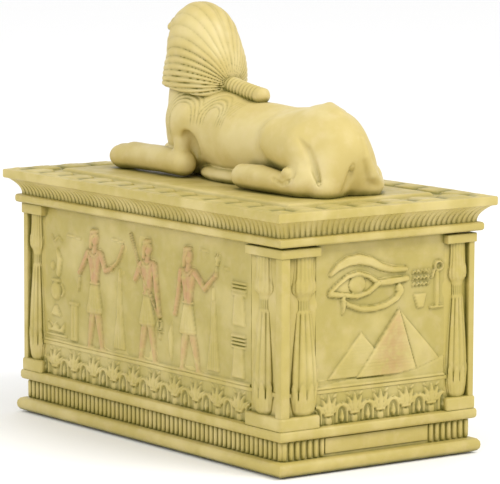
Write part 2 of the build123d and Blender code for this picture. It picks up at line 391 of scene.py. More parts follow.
@dataclass(frozen=True)
class PlainMoulding:
    """Moulded plastic, rubber or stone with mottled colour and a grain.

    Attributes:
        name: The material's name.
        dark: The darker of its two tones.
        light: The lighter of its two tones.
        grain_scale: Noise scale of the grain.
        grain_depth: Depth of the grain in metres.
        roughness: Middle roughness.
    """

    name: str
    dark: Point3
    light: Point3
    grain_scale: float = 900.0
    grain_depth: float = 0.00005
    roughness: float = 0.5

    def build(self) -> bpy.types.Material:
        """Builds the node tree.

        Returns:
            The material.
        """
        material = bpy.data.materials.new(self.name)
        material.use_nodes = True
        tree = material.node_tree
        shader = tree.nodes["Principled BSDF"]
        place = tree.nodes.new("ShaderNodeTexCoord")
        noise = tree.nodes.new("ShaderNodeTexNoise")
        noise.inputs["Scale"].default_value = self.grain_scale
        noise.inputs["Detail"].default_value = 4
        tree.links.new(place.outputs["Object"], noise.inputs["Vector"])
        mix = tree.nodes.new("ShaderNodeMix")
        mix.data_type = "RGBA"
        mix.inputs["A"].default_value = (*self.dark, 1)
        mix.inputs["B"].default_value = (*self.light, 1)
        tree.links.new(noise.outputs["Fac"], mix.inputs["Factor"])
        tree.links.new(mix.outputs["Result"], shader.inputs["Base Color"])
        gloss = tree.nodes.new("ShaderNodeMapRange")
        gloss.inputs["To Min"].default_value = self.roughness - 0.1
        gloss.inputs["To Max"].default_value = self.roughness + 0.1
        tree.links.new(noise.outputs["Fac"], gloss.inputs["Value"])
        tree.links.new(gloss.outputs["Result"], shader.inputs["Roughness"])
        bump = tree.nodes.new("ShaderNodeBump")
        bump.inputs["Strength"].default_value = 0.5
        bump.inputs["Distance"].default_value = self.grain_depth
        tree.links.new(noise.outputs["Fac"], bump.inputs["Height"])
        tree.links.new(bump.outputs["Normal"], shader.inputs["Normal"])
        return material


# ---------------------------------------------------------------- relief carving


def to_path(u: Array, v: Array, points: Sequence[Point2]) -> Array:
    """Distance from every grid point to a broken line."""
    best = np.full(u.shape, np.inf)
    for (u0, v0), (u1, v1) in zip(points, points[1:]):
        du, dv = u1 - u0, v1 - v0
        share = np.clip(((u - u0) * du + (v - v0) * dv) / (du * du + dv * dv + 1e-12), 0, 1)
        best = np.minimum(best, np.hypot(u - u0 - share * du, v - v0 - share * dv))
    return best


def to_limb(u: Array, v: Array, points: Sequence[Point2], radii: Sequence[float]) -> Array:
    """Signed distance to a chain of tapered round limbs, negative inside."""
    best = np.full(u.shape, np.inf)
    for (u0, v0), (u1, v1), r0, r1 in zip(points, points[1:], radii, radii[1:]):
        du, dv = u1 - u0, v1 - v0
        share = np.clip(((u - u0) * du + (v - v0) * dv) / (du * du + dv * dv + 1e-12), 0, 1)
        distance = np.hypot(u - u0 - share * du, v - v0 - share * dv)
        best = np.minimum(best, distance - (r0 + share * (r1 - r0)))
    return best


def to_polygon(u: Array, v: Array, corners: Sequence[Point2]) -> Array:
    """Signed distance to a polygon, negative inside."""
    inside = np.zeros(u.shape, bool)
    closed = [*corners, corners[0]]
    for (u0, v0), (u1, v1) in zip(closed, closed[1:]):
        crosses = (v0 > v) != (v1 > v)
        reach = (u1 - u0) * (v - v0) / (v1 - v0 + 1e-12) + u0
        inside ^= crosses & (u < reach)
    return np.where(inside, -1, 1) * to_path(u, v, closed)


def to_ellipse(u: Array, v: Array, centre: Point2, radii: Point2) -> Array:
    """Rough signed distance to an upright ellipse, negative inside."""
    scaled = np.hypot((u - centre[0]) / radii[0], (v - centre[1]) / radii[1])
    return (scaled - 1) * min(radii)


def arc_points(centre: Point2, radii: Point2, start_deg: float, end_deg: float,
               count: int = 16) -> list[Point2]:
    """Points along an elliptical arc."""
    turns = np.radians(np.linspace(start_deg, end_deg, count))
    return [(centre[0] + radii[0] * math.cos(t), centre[1] + radii[1] * math.sin(t)) for t in turns]


@dataclass
class Relief:
    """A carved slab, held as a height for every point of a grid, in millimetres.

    Attributes:
        width: The slab's width.
        height: The slab's height.
        pitch: The grid's spacing.
        age: How much wash lies on its open ground.
        drawn_shade: Extra olive painted as shade along drawn lines.
    """

    width: float
    height: float
    pitch: float = 0.4
    age: float = 0.16
    drawn_shade: Array | float = 0.0
    u: Array = field(init=False)
    v: Array = field(init=False)
    h: Array = field(init=False)
    tint: Array = field(init=False)

    def __post_init__(self) -> None:
        """Lays out the grid, centred across and standing on its lower edge."""
        columns = int(round(self.width / self.pitch)) + 1
        rows = int(round(self.height / self.pitch)) + 1
        across = np.linspace(-self.width / 2, self.width / 2, columns)
        self.u, self.v = np.meshgrid(across, np.linspace(0, self.height, rows))
        self.h = np.zeros(self.u.shape)
        self.tint = np.zeros(self.u.shape)

    def raise_form(self, inside: Array, rise: float, edge: float = 0.8, tint: float = 0.0) -> None:
        """Raises a pillowed form with a fine cut round it.

        Args:
            inside: Signed distance to the form, negative inside.
            rise: The form's height.
            edge: How far in from its outline the form reaches its height.
            tint: How much terracotta it carries.
        """
        crown = np.clip(-inside / edge, 0, 1)
        form = rise * np.sqrt(crown * (2 - crown))
        moat = 0.16 * rise * np.exp(-((inside / 0.4) ** 2)) * (inside > -0.1)
        self.h = np.where(inside < 0, np.maximum(form, self.h * 0.35 + form * 0.75), self.h - moat)
        if tint:
            self.tint = np.where(inside < 0.1, tint, self.tint)
        else:
            self.tint = np.where(inside < -0.1, 0, self.tint)

    def raise_line(self, points: Sequence[Point2], half_width: float, rise: float, tint: float = 0.0) -> None:
        """Raises a round bead along a broken line."""
        self.raise_form(to_path(self.u, self.v, points) - half_width, rise, half_width, tint)

    def cut_line(self, points: Sequence[Point2], half_width: float, depth: float) -> None:
        """Cuts a round groove along a broken line."""
        self.h = self.h - depth * np.exp(-((to_path(self.u, self.v, points) / half_width) ** 2))

    def weather(self, seed: int, amount: float = 0.05) -> None:
        """Adds the slight unevenness of a casting."""
        draws = np.random.default_rng(seed).standard_normal(self.h.shape)
        rough = self.blurred(draws, 1.1) * 3.0 + self.blurred(draws, 3.5) * 12.0
        self.h = self.h + amount * rough

    def blurred(self, values: Array, reach: float) -> Array:
        """Gaussian blur over the given reach in millimetres."""
        rows, columns = values.shape
        padded = np.pad(values, ((rows // 4, rows // 4), (columns // 4, columns // 4)), mode="edge")
        fv = np.fft.fftfreq(padded.shape[0], self.pitch)[:, None]
        fu = np.fft.rfftfreq(padded.shape[1], self.pitch)[None, :]
        soft = np.exp(-2 * (math.pi * reach) ** 2 * (fu**2 + fv**2))
        out = np.fft.irfft2(np.fft.rfft2(padded) * soft, padded.shape)
        return out[rows // 4 : rows // 4 + rows, columns // 4 : columns // 4 + columns]

    def wash_and_shade(self) -> Array:
        """How much olive each point gets: the casting's wash, plus painted shade that gathers in the low
        places beside high ones and along the drawn shade lines.
        """
        near = self.blurred(self.h, 0.7) - self.h
        wide = self.blurred(self.h, 3.0) - self.h
        return np.clip(self.age + self.drawn_shade + 0.5 * near + 0.3 * wide, 0, 0.9)

    def slab(self, name: str, side: Side, face: float, bottom: float, shift: float) -> bpy.types.Object:
        """Makes the carved slab as a closed piece standing in a wall.

        Args:
            name: The piece's name.
            side: The wall that it stands in.
            face: Distance of its ground from the casket's middle.
            bottom: Height of its lower edge.
            shift: How far its middle stands from the wall's middle, rightward as one faces it.

        Returns:
            The slab, in millimetres.
        """
        out_x, out_y = side.value
        right = np.array([-out_y, out_x, 0.0])
        out = np.array([out_x, out_y, 0.0])
        up = np.array([0.0, 0.0, 1.0])
        return self.mesh(name, out * face + up * bottom + right * shift, right, up, out, 1.0)

    def mesh(self, name: str, origin: Array, right: Array, up: Array, out: Array,
             depth: float) -> bpy.types.Object:
        """Carves a grid by the heights and closes it behind.

        Args:
            name: The piece's name.
            origin: Where the middle of the lower edge lies.
            right: The direction across.
            up: The direction up the slab.
            out: The direction that the carving stands out in.
            depth: How far the slab reaches back.

        Returns:
            The slab, in millimetres.
        """
        rows, columns = self.h.shape
        bpy.ops.mesh.primitive_grid_add(x_subdivisions=columns - 1, y_subdivisions=rows - 1, size=2)
        piece = bpy.context.object
        piece.name = name
        flat = get_points(piece)
        column = np.rint((flat[:, 0] + 1) / 2 * (columns - 1)).astype(int)
        row = np.rint((flat[:, 1] + 1) / 2 * (rows - 1)).astype(int)
        across = self.u[row, column, None] * right
        upward = self.v[row, column, None] * up
        outward = self.h[row, column, None] * out
        set_points(piece, origin + (across + upward + outward))
        # The olive attribute: the casting's wash with painted shade in the low places.
        paint(piece, "wash_and_shade", self.wash_and_shade()[row, column])
        paint(piece, "tint", self.blurred(self.tint, 0.7)[row, column])
        with editing(piece):
            bpy.ops.mesh.select_all(action="DESELECT")
            bpy.ops.mesh.select_mode(type="EDGE")
            bpy.ops.mesh.select_non_manifold(use_wire=False, use_multi_face=False, use_non_contiguous=False,
                                             use_verts=False)
            bpy.ops.mesh.extrude_region_move(TRANSFORM_OT_translate={"value": tuple(-depth * out)})
            bpy.ops.mesh.edge_face_add()
        return piece


# ---------------------------------------------------------------- relief subjects


@dataclass(frozen=True)
class Figure:
    """A standing figure in the old Egyptian manner: shoulders to the front, legs striding.

    Attributes:
        middle: Place of the waist across the panel.
        near_arm: Shoulder, elbow and hand of the arm on the left, from the waist's place.
        far_arm: The same on the right.
        stride: How far each foot stands from the waist, left and right.
    """

    middle: float
    near_arm: tuple[Point2, Point2, Point2]
    far_arm: tuple[Point2, Point2, Point2]
    stride: Point2

    def carve(self, relief: Relief) -> None:
        """Carves the figure into a panel."""
        u, v, x = relief.u, relief.v, self.middle

        def at(points: Sequence[Point2]) -> list[Point2]:
            """Points given from the waist's place."""
            return [(x + a, b) for a, b in points]

        skin = 0.9
        back, front = self.stride
        for foot in (back, front):
            leg = at([(foot * 0.28, 15), (foot * 0.62, 8.5), (foot * 0.92, 1.6)])
            relief.raise_form(to_limb(u, v, leg, (1.9, 1.55, 1.0)), 0.75, 1.2, skin * 0.7)
            toe = at([(foot * 0.92 - 0.4, 1.1), (foot * 0.92 + 2.6, 0.75)])
            relief.raise_form(to_limb(u, v, toe, (0.9, 0.55)), 0.7, 0.7, skin * 0.8)
        kilt = at([(-2.4, 24), (2.2, 24), (4.6, 14.2), (3.8, 13.2), (-4.4, 12.8), (-5.2, 13.6)])
        relief.raise_form(to_polygon(u, v, kilt), 0.95, 1.5)
        for lean in (-2.4, -1.0, 0.4, 1.8):
            relief.cut_line(at([(lean * 0.45, 23), (lean * 1.5, 14)]), 0.2, 0.14)
        relief.cut_line(at([(-4.6, 14.4), (4.0, 14.8)]), 0.22, 0.2)
        relief.raise_line(at([(-2.5, 24.2), (2.3, 24.2)]), 0.6, 1.05)
        torso = at([(-2.1, 24), (2.0, 24), (2.9, 29), (4.9, 35.2), (3.6, 36.4), (-3.8, 36.2), (-5.0, 34.8),
                    (-3.0, 29)])
        relief.raise_form(to_polygon(u, v, torso), 0.95, 1.6, skin)
        relief.cut_line(at([(0, 25.2), (0, 31)]), 0.3, 0.16)
        relief.raise_line(at([(-3.2, 35.4), (-1.4, 34.0), (1.2, 34.0), (3.0, 35.6)]), 0.55, 1.15)
        for arm in (self.near_arm, self.far_arm):
            relief.raise_form(to_limb(u, v, at(arm), (1.25, 1.05, 0.8)), 1.0, 0.9, skin)
            relief.raise_form(to_ellipse(u, v, at([arm[2]])[0], (1.05, 1.0)), 1.05, 0.8, skin)
        relief.raise_form(to_limb(u, v, at([(0, 35.6), (0.1, 38)]), (1.3, 1.2)), 0.9, 0.8, skin)
        relief.raise_form(to_ellipse(u, v, (x + 0.2, 40.2), (2.1, 2.7)), 1.1, 1.4, skin)
        hair = at([(-1.0, 41.6), (-1.9, 39.2), (-2.1, 36.9)])
        relief.raise_form(to_limb(u, v, hair, (1.5, 1.1, 0.9)), 1.2, 0.9, 0.5)
        relief.cut_line(at([(0.6, 40.6), (1.6, 40.7)]), 0.22, 0.3)
        relief.cut_line(at([(0.9, 38.9), (1.7, 38.9)]), 0.2, 0.22)
        relief.raise_form(to_limb(u, v, at([(-1.4, 42.4), (1.2, 42.8)]), (1.0, 0.8)), 1.2, 0.8, 0.5)


@dataclass(frozen=True)
class ProcessionPanel:
    """The long walls' scene: three figures between offerings, tall reeds and a pair of ribbed pillars.

    Attributes:
        width: The panel's width.
        height: The panel's height.
        ground: Height of the ground line; not used.
    """

    width: float
    height: float
    ground: float = 1.2

    def tall_reed(self, relief: Relief, x: float, top: float) -> None:
        """Carves a slender plant that widens to its foot."""
        waist = top * 0.45
        stem = [(x - 0.7, top), (x + 0.6, top), (x + 2.0, waist), (x + 3.6, 2.4), (x - 3.8, 2.4),
                (x - 1.9, waist)]
        relief.raise_form(to_polygon(relief.u, relief.v, stem), 0.55, 0.8)
        for lean in (-2.3, -0.8, 0.8, 2.3):
            relief.cut_line([(x + lean * 0.15, top * 0.85), (x + lean, 3.2)], 0.22, 0.22)

    def ribbed_pillar(self, relief: Relief, x: float, foot: float) -> None:
        """Carves a short pillar with four bars across its head."""
        shaft = [(x - 2.6, foot + 11), (x + 2.6, foot + 11), (x + 3.7, foot), (x - 3.7, foot)]
        relief.raise_form(to_polygon(relief.u, relief.v, shaft), 0.55, 0.8)
        for bar in range(4):
            level = foot + 10.6 + 1.25 * bar
            relief.raise_line([(x - 3.7, level), (x + 3.7, level)], 0.5, 0.7)

    def offerings(self, relief: Relief) -> None:
        """Carves the stand, bowl, cone and jar at the left, and the narrow door beside them."""
        u, v = relief.u, relief.v
        x = -55.5
        relief.raise_line([(x - 6, 2.6), (x + 6.5, 2.6)], 0.6, 0.6)
        bowl = [(x - 5.6, 7.4), (x - 2.8, 5.0), (x - 0.2, 7.0), (x + 2.6, 5.0), (x + 5.4, 7.6),
                (x + 5.0, 3.6), (x - 5.2, 3.6)]
        relief.raise_form(to_polygon(u, v, bowl), 0.8, 0.7)
        cone = [(x - 3.4, 9.6), (x + 3.4, 9.4), (x + 0.9, 13.4), (x - 0.9, 13.4)]
        relief.raise_form(to_polygon(u, v, cone), 0.9, 1.0)
        relief.raise_form(to_ellipse(u, v, (x, 18.6), (3.1, 3.4)), 1.0, 1.6)
        relief.raise_line([(x - 2.2, 22.4), (x + 2.2, 22.4)], 0.6, 0.9)
        relief.raise_line(arc_points((x + 3.2, 19), (1.6, 2.0), -80, 80), 0.45, 0.7)
        plume = [(x + 1.5, 25), (x + 2.5, 30), (x + 0.5, 34)]
        relief.raise_form(to_limb(u, v, plume, (1.2, 1.5, 0.5)), 0.8, 0.9)
        relief.raise_form(to_ellipse(u, v, (x - 2.2, 27.5), (1.3, 1.6)), 0.7, 0.9)
        relief.raise_line([(x - 3, 38.5), (x - 0.8, 36.6), (x + 1.6, 38.4), (x + 3.8, 36.8)], 0.4, 0.6)
        door = [(-46, 1.8), (-41.6, 1.8), (-41.9, 14.6), (-45.7, 14.6)]
        relief.raise_form(to_polygon(u, v, door), 0.6, 0.5)
        relief.cut_line([(-43.8, 3), (-43.8, 13.6)], 0.3, 0.3)
        relief.raise_line([(-46.6, 15.2), (-41.0, 15.2)], 0.5, 0.8)

    def carve(self) -> Relief:
        """Returns the carved panel."""
        relief = Relief(self.width, self.height, 0.4)
        u, v = relief.u, relief.v
        self.offerings(relief)
        self.tall_reed(relief, -15.2, 31)
        self.tall_reed(relief, 41.0, 31)
        near = ((-4.2, 34.6), (-7.0, 30.5), (-9.6, 27.0))
        far = ((4.2, 34.6), (6.6, 29.4), (10.2, 30.4))
        figures = (
            Figure(-30.6, near, far, (-3.6, 4.8)),
            Figure(2.2, ((-4.2, 34.2), (-7.6, 28.6), (-4.2, 32.0)), ((4.2, 34.6), (5.4, 26.0), (7.2, 17.4)),
                   (-4.6, 4.6)),
            Figure(26.4, ((-4.2, 34.6), (-5.6, 27.0), (-7.6, 19.6)), ((4.2, 34.6), (9.6, 30.0), (16.0, 35.4)),
                   (-4.0, 6.4)),
        )
        for figure in figures:
            figure.carve(relief)
        relief.raise_line([(-20.4, 30.4), (-16.2, 33.4), (-13.6, 37.6), (-12.9, 39.4)], 0.6, 1.1, 0.6)
        relief.raise_line([(-40.3, 25), (-41.0, 20.5)], 0.5, 0.9)
        relief.raise_line([(-8.0, 44.2), (-2.0, 32), (9.6, 17.0)], 0.45, 1.2, 0.4)
        relief.raise_line(arc_points((9.6, 14.4), (1.1, 1.7), 0, 360), 0.35, 0.9)
        relief.raise_line([(9.6, 12.6), (9.6, 9.4)], 0.4, 0.9)
        relief.raise_line([(8.0, 12.0), (11.2, 12.0)], 0.4, 0.9)
        relief.raise_line([(42.6, 35.6), (43.4, 39.6)], 0.4, 0.9)
        for lean in (-24, 0, 24):
            tip = (43.4 + 3.0 * math.sin(math.radians(lean)), 39.4 + 3.4 * math.cos(math.radians(lean)))
            relief.raise_form(to_limb(u, v, [(43.4, 39.2), tip], (0.75, 0.25)), 0.9, 0.5)
        leaf = [(16.6, 2), (15.0, 6), (14.4, 12), (16.6, 16.5), (17.4, 10)]
        relief.raise_form(to_polygon(u, v, leaf), 0.5, 0.7)
        self.ribbed_pillar(relief, 55.6, 19.8)
        self.ribbed_pillar(relief, 55.4, 2.0)
        for x, y, w in ((-44, 39.0, 4.4), (-16.4, 40.6, 3.4), (35.6, 42.8, 2.6), (48, 38, 1.6)):
            relief.raise_line([(x - w, y + 0.5), (x + w, y)], 0.4, 0.45)
        relief.raise_line([(-self.width / 2, 0.5), (self.width / 2, 0.5)], 0.6, 0.7)
        relief.h = 0.95 * relief.blurred(relief.h, 0.12)
        relief.weather(7)
        return relief


@dataclass(frozen=True)
class EyePanel:
    """The end walls' scene: a painted eye and signs over two pyramids.

    Attributes:
        width: The panel's width.
        height: The panel's height.
    """

    width: float
    height: float

    def pyramids(self, relief: Relief) -> None:
        """Carves the two pyramids with their stone courses, and the dune in front."""
        u, v = relief.u, relief.v
        relief.raise_line([(-self.width / 2, 2.9), (self.width / 2, 6.6)], 0.3, 0.25)
        small = [(-22.5, 3.0), (-8.4, 18.0), (2.0, 7.0), (-2.0, 2.8)]
        large = [(-10.6, 2.6), (7.6, 24.6), (15.5, 2.4)]
        shaded = [(7.6, 24.6), (26.5, 5.2), (15.5, 2.4)]
        for face, rise in ((small, 0.55), (shaded, 0.55), (large, 0.95)):
            relief.raise_form(to_polygon(u, v, face), rise, 0.5)
        courses = 0.07 * np.maximum(0, np.sin(2 * math.pi * v / 1.15)) ** 2
        on_large = to_polygon(u, v, large) < -0.3
        on_small = to_polygon(u, v, small) < -0.3
        relief.h = relief.h - courses * (on_large + 0.7 * on_small)
        blush = np.exp(-(((u - 4.5) / 6.5) ** 2)) * on_large
        relief.tint = np.maximum(relief.tint, 0.55 * blush)
        dune = [(-27, 1.0), (-14, 2.6), (4, 2.2), (16, 3.8), (27.5, 7.0), (27.5, 0.2), (-27, 0.2)]
        relief.raise_form(to_polygon(u, v, dune), 0.45, 1.0)

    def eye(self, relief: Relief) -> None:
        """Carves the eye with its brow, tail and curl."""
        u, v = relief.u, relief.v
        brow = [(-21.4, 38.2), (-18.4, 40.6), (-14.4, 42.2), (-9.6, 42.6), (-4.6, 41.4), (0.2, 39.2),
                (4.6, 38.0), (10.4, 37.8)]
        relief.raise_form(to_limb(u, v, brow, (0.7, 1.3, 1.7, 1.8, 1.6, 1.3, 1.1, 0.9)), 1.05, 1.0)
        upper = [(-21.6, 32.2), (-18.6, 34.6), (-14.6, 37.0), (-9.8, 37.8), (-5.2, 36.4), (-1.6, 34.0),
                 (4.0, 34.1), (10.8, 34.6)]
        lower = [(-21.6, 31.8), (-16.0, 31.0), (-10.2, 30.2), (-5.6, 31.2), (-1.6, 33.8)]
        almond = [*upper[:6], *reversed(lower[1:4])]
        hollow = to_polygon(u, v, almond)
        relief.h = np.where(hollow < 0, relief.h - 0.35 * smoothstep(0, 1.2, -hollow), relief.h)
        relief.raise_form(to_limb(u, v, upper, (0.8, 0.7, 0.75, 0.85, 0.8, 1.0, 1.2, 1.0)), 1.1, 0.7)
        relief.raise_form(to_limb(u, v, lower, (1.1, 0.9, 0.9, 0.9, 1.0)), 1.1, 0.7)
        relief.raise_form(to_ellipse(u, v, (-10.2, 34.1), (3.7, 3.2)), 0.75, 2.2)
        curl = [(-16.6, 29.6), (-14.0, 27.6), (-9.0, 25.8), (-3.6, 25.4), (2.0, 26.2), (6.4, 28.2),
                (8.2, 30.6), (7.6, 31.6)]
        relief.raise_form(to_limb(u, v, curl, (0.7, 0.9, 1.0, 1.0, 1.0, 1.1, 1.4, 1.6)), 1.0, 0.9)
        teardrop = [(-16.2, 30.2), (-15.9, 27.0), (-16.4, 24.6)]
        relief.raise_form(to_limb(u, v, teardrop, (0.8, 0.8, 0.3)), 0.85, 0.6)

    def signs(self, relief: Relief) -> None:
        """Carves the ripples, the cup and the tall post at the right."""
        u, v = relief.u, relief.v
        for row in range(3):
            base = 31.8 + 2.1 * row
            wave = [(13.4 + 0.8 * k, base + (0.9 if k % 2 else 0)) for k in range(10)]
            relief.raise_line(wave, 0.32, 0.8)
        cup = [(13.8, 29.0), (19.4, 28.8), (18.2, 24.0), (15.4, 24.0)]
        relief.raise_form(to_polygon(u, v, cup), 0.7, 0.7)
        relief.raise_line([(24.0, 24.6), (24.0, 36.2)], 0.9, 0.8)
        relief.cut_line([(24.0, 25.2), (24.0, 35.4)], 0.25, 0.3)
        relief.raise_line([(21.2, 23.8), (26.6, 23.8)], 0.5, 0.8)
        relief.raise_line(arc_points((24.6, 37.8), (1.7, 1.5), 0, 360), 0.45, 1.0)
        relief.raise_line([(21.8, 34.2), (22.6, 36.4)], 0.5, 0.8)

    def carve(self) -> Relief:
        """Returns the carved panel."""
        relief = Relief(self.width, self.height, 0.36)
        self.pyramids(relief)
        self.eye(relief)
        self.signs(relief)
        relief.raise_line([(-self.width / 2, 0.4), (self.width / 2, 0.4)], 0.6, 0.7)
        relief.weather(11)
        return relief


@dataclass(frozen=True)
class LotusFrieze:
    """A row of open lotus flowers with small buds under arches between them.

    Attributes:
        width: The frieze's width.
        height: The frieze's height.
        flowers: How many flowers it holds.
    """

    width: float
    height: float
    flowers: int

    def flower(self, relief: Relief, x: float) -> None:
        """Carves one flower on its foot."""
        u, v = relief.u, relief.v
        top = self.height
        cup = [(x - 1.7, 3.0), (x + 1.7, 3.0), (x + 3.3, 6.6), (x - 3.3, 6.6)]
        relief.raise_form(to_limb(u, v, [(x, 0.8), (x, 3.6)], (1.5, 1.2)), 0.7, 0.8)
        relief.raise_form(to_polygon(u, v, cup), 0.8, 0.8)
        for lean in (-54, 54, -28, 28, 0):
            reach = 6.0 if lean else 6.4
            side, up = reach * math.sin(math.radians(lean)), reach * math.cos(math.radians(lean))
            petal = [(x + 0.1 * side, 3.6), (x + 0.55 * side, 3.4 + 0.55 * up), (x + side, 3.4 + up)]
            relief.raise_form(to_limb(u, v, petal, (0.8, 1.2, 0.3)), 1.0, 0.6)
        relief.raise_line([(x - 1.7, 3.4), (x + 1.7, 3.4)], 0.45, 1.0)
        for way in (-1, 1):
            relief.raise_line([(x + 3.2 * way, top - 0.9), (x + 2.2 * way, top - 1.6)], 0.4, 0.6)

    def bud(self, relief: Relief, x: float) -> None:
        """Carves one bud inside its arch."""
        u, v = relief.u, relief.v
        arch = arc_points((x, 3.8), (2.2, 2.6), 180, 0, 9)
        relief.raise_line([(x - 2.2, 0.6), *arch, (x + 2.2, 0.6)], 0.55, 0.85)
        relief.raise_form(to_limb(u, v, [(x, 0.8), (x, 2.2), (x, 4.6)], (0.5, 1.0, 0.3)), 1.0, 0.5)

    def carve(self) -> Relief:
        """Returns the carved frieze."""
        relief = Relief(self.width, self.height, 0.3)
        pitch = self.width / self.flowers
        for index in range(self.flowers):
            self.flower(relief, (index - (self.flowers - 1) / 2) * pitch)
        for index in range(self.flowers + 1):
            self.bud(relief, (index - self.flowers / 2) * pitch)
        relief.h = 0.9 * relief.blurred(relief.h, 0.15)
        relief.weather(3, 0.03)
        return relief


# ---------------------------------------------------------------- casket


@dataclass(frozen=True)
class CasketSizes:
    """The casket's driving dimensions, in millimetres. Pairs are half lengths and half depths."""

    plinth: Point2 = (80.0, 43.0)
    wall: Point2 = (76.0, 39.0)
    cavity: Point2 = (69.0, 32.0)
    block: Point2 = (78.6, 41.6)
    floor_top: float = 12.5
    top: float = 76.8
    base_block_top: float = 20.1
    abacus_bottom: float = 73.0
    ledge_top: float = 15.8
    frame_top: float = 28.0
    outlet_drop: float = 0.6


def onto(side: Side, along: float, out: float) -> Point2:
    """Place in plan of a point on a wall.

    Args:
        side: The wall.
        along: Distance along the wall from its middle, rightward as one faces it.
        out: Distance from the casket's middle.

    Returns:
        The point's X and Y.
    """
    out_x, out_y = side.value
    return (out_x * out - out_y * along, out_y * out + out_x * along)


def corner_copy(sign_x: int, sign_y: int) -> Move:
    """Move that mirrors a piece made for the +X +Y corner into another corner."""
    return lambda points: points * (sign_x, sign_y, 1)


@dataclass(frozen=True)
class CornerKind:
    """One kind of corner: opposite corners are alike.

    Attributes:
        name: What the corner's pieces are called.
        length: The blocks' length along the long wall.
        breadth: The blocks' length along the end wall.
        axes: How far each column's axis stands from the corner, on the long wall and on the end wall.
        size: The columns' size.
        ridge: The width of the ridge on the corner.
        signs: The two corners of this kind.
    """

    name: str
    length: float
    breadth: float
    axes: Point2
    size: float
    ridge: float
    signs: tuple[tuple[int, int], ...]


KINDS = (
    CornerKind("broad", 20.5, 16.5, (13.1, 11.1), 1.0, 3.6, ((1, -1), (-1, 1))),
    CornerKind("narrow", 13.0, 12.8, (6.9, 6.8), 0.77, 2.4, ((-1, -1), (1, 1))),
)
CORNERS = [signs for kind in KINDS for signs in kind.signs]


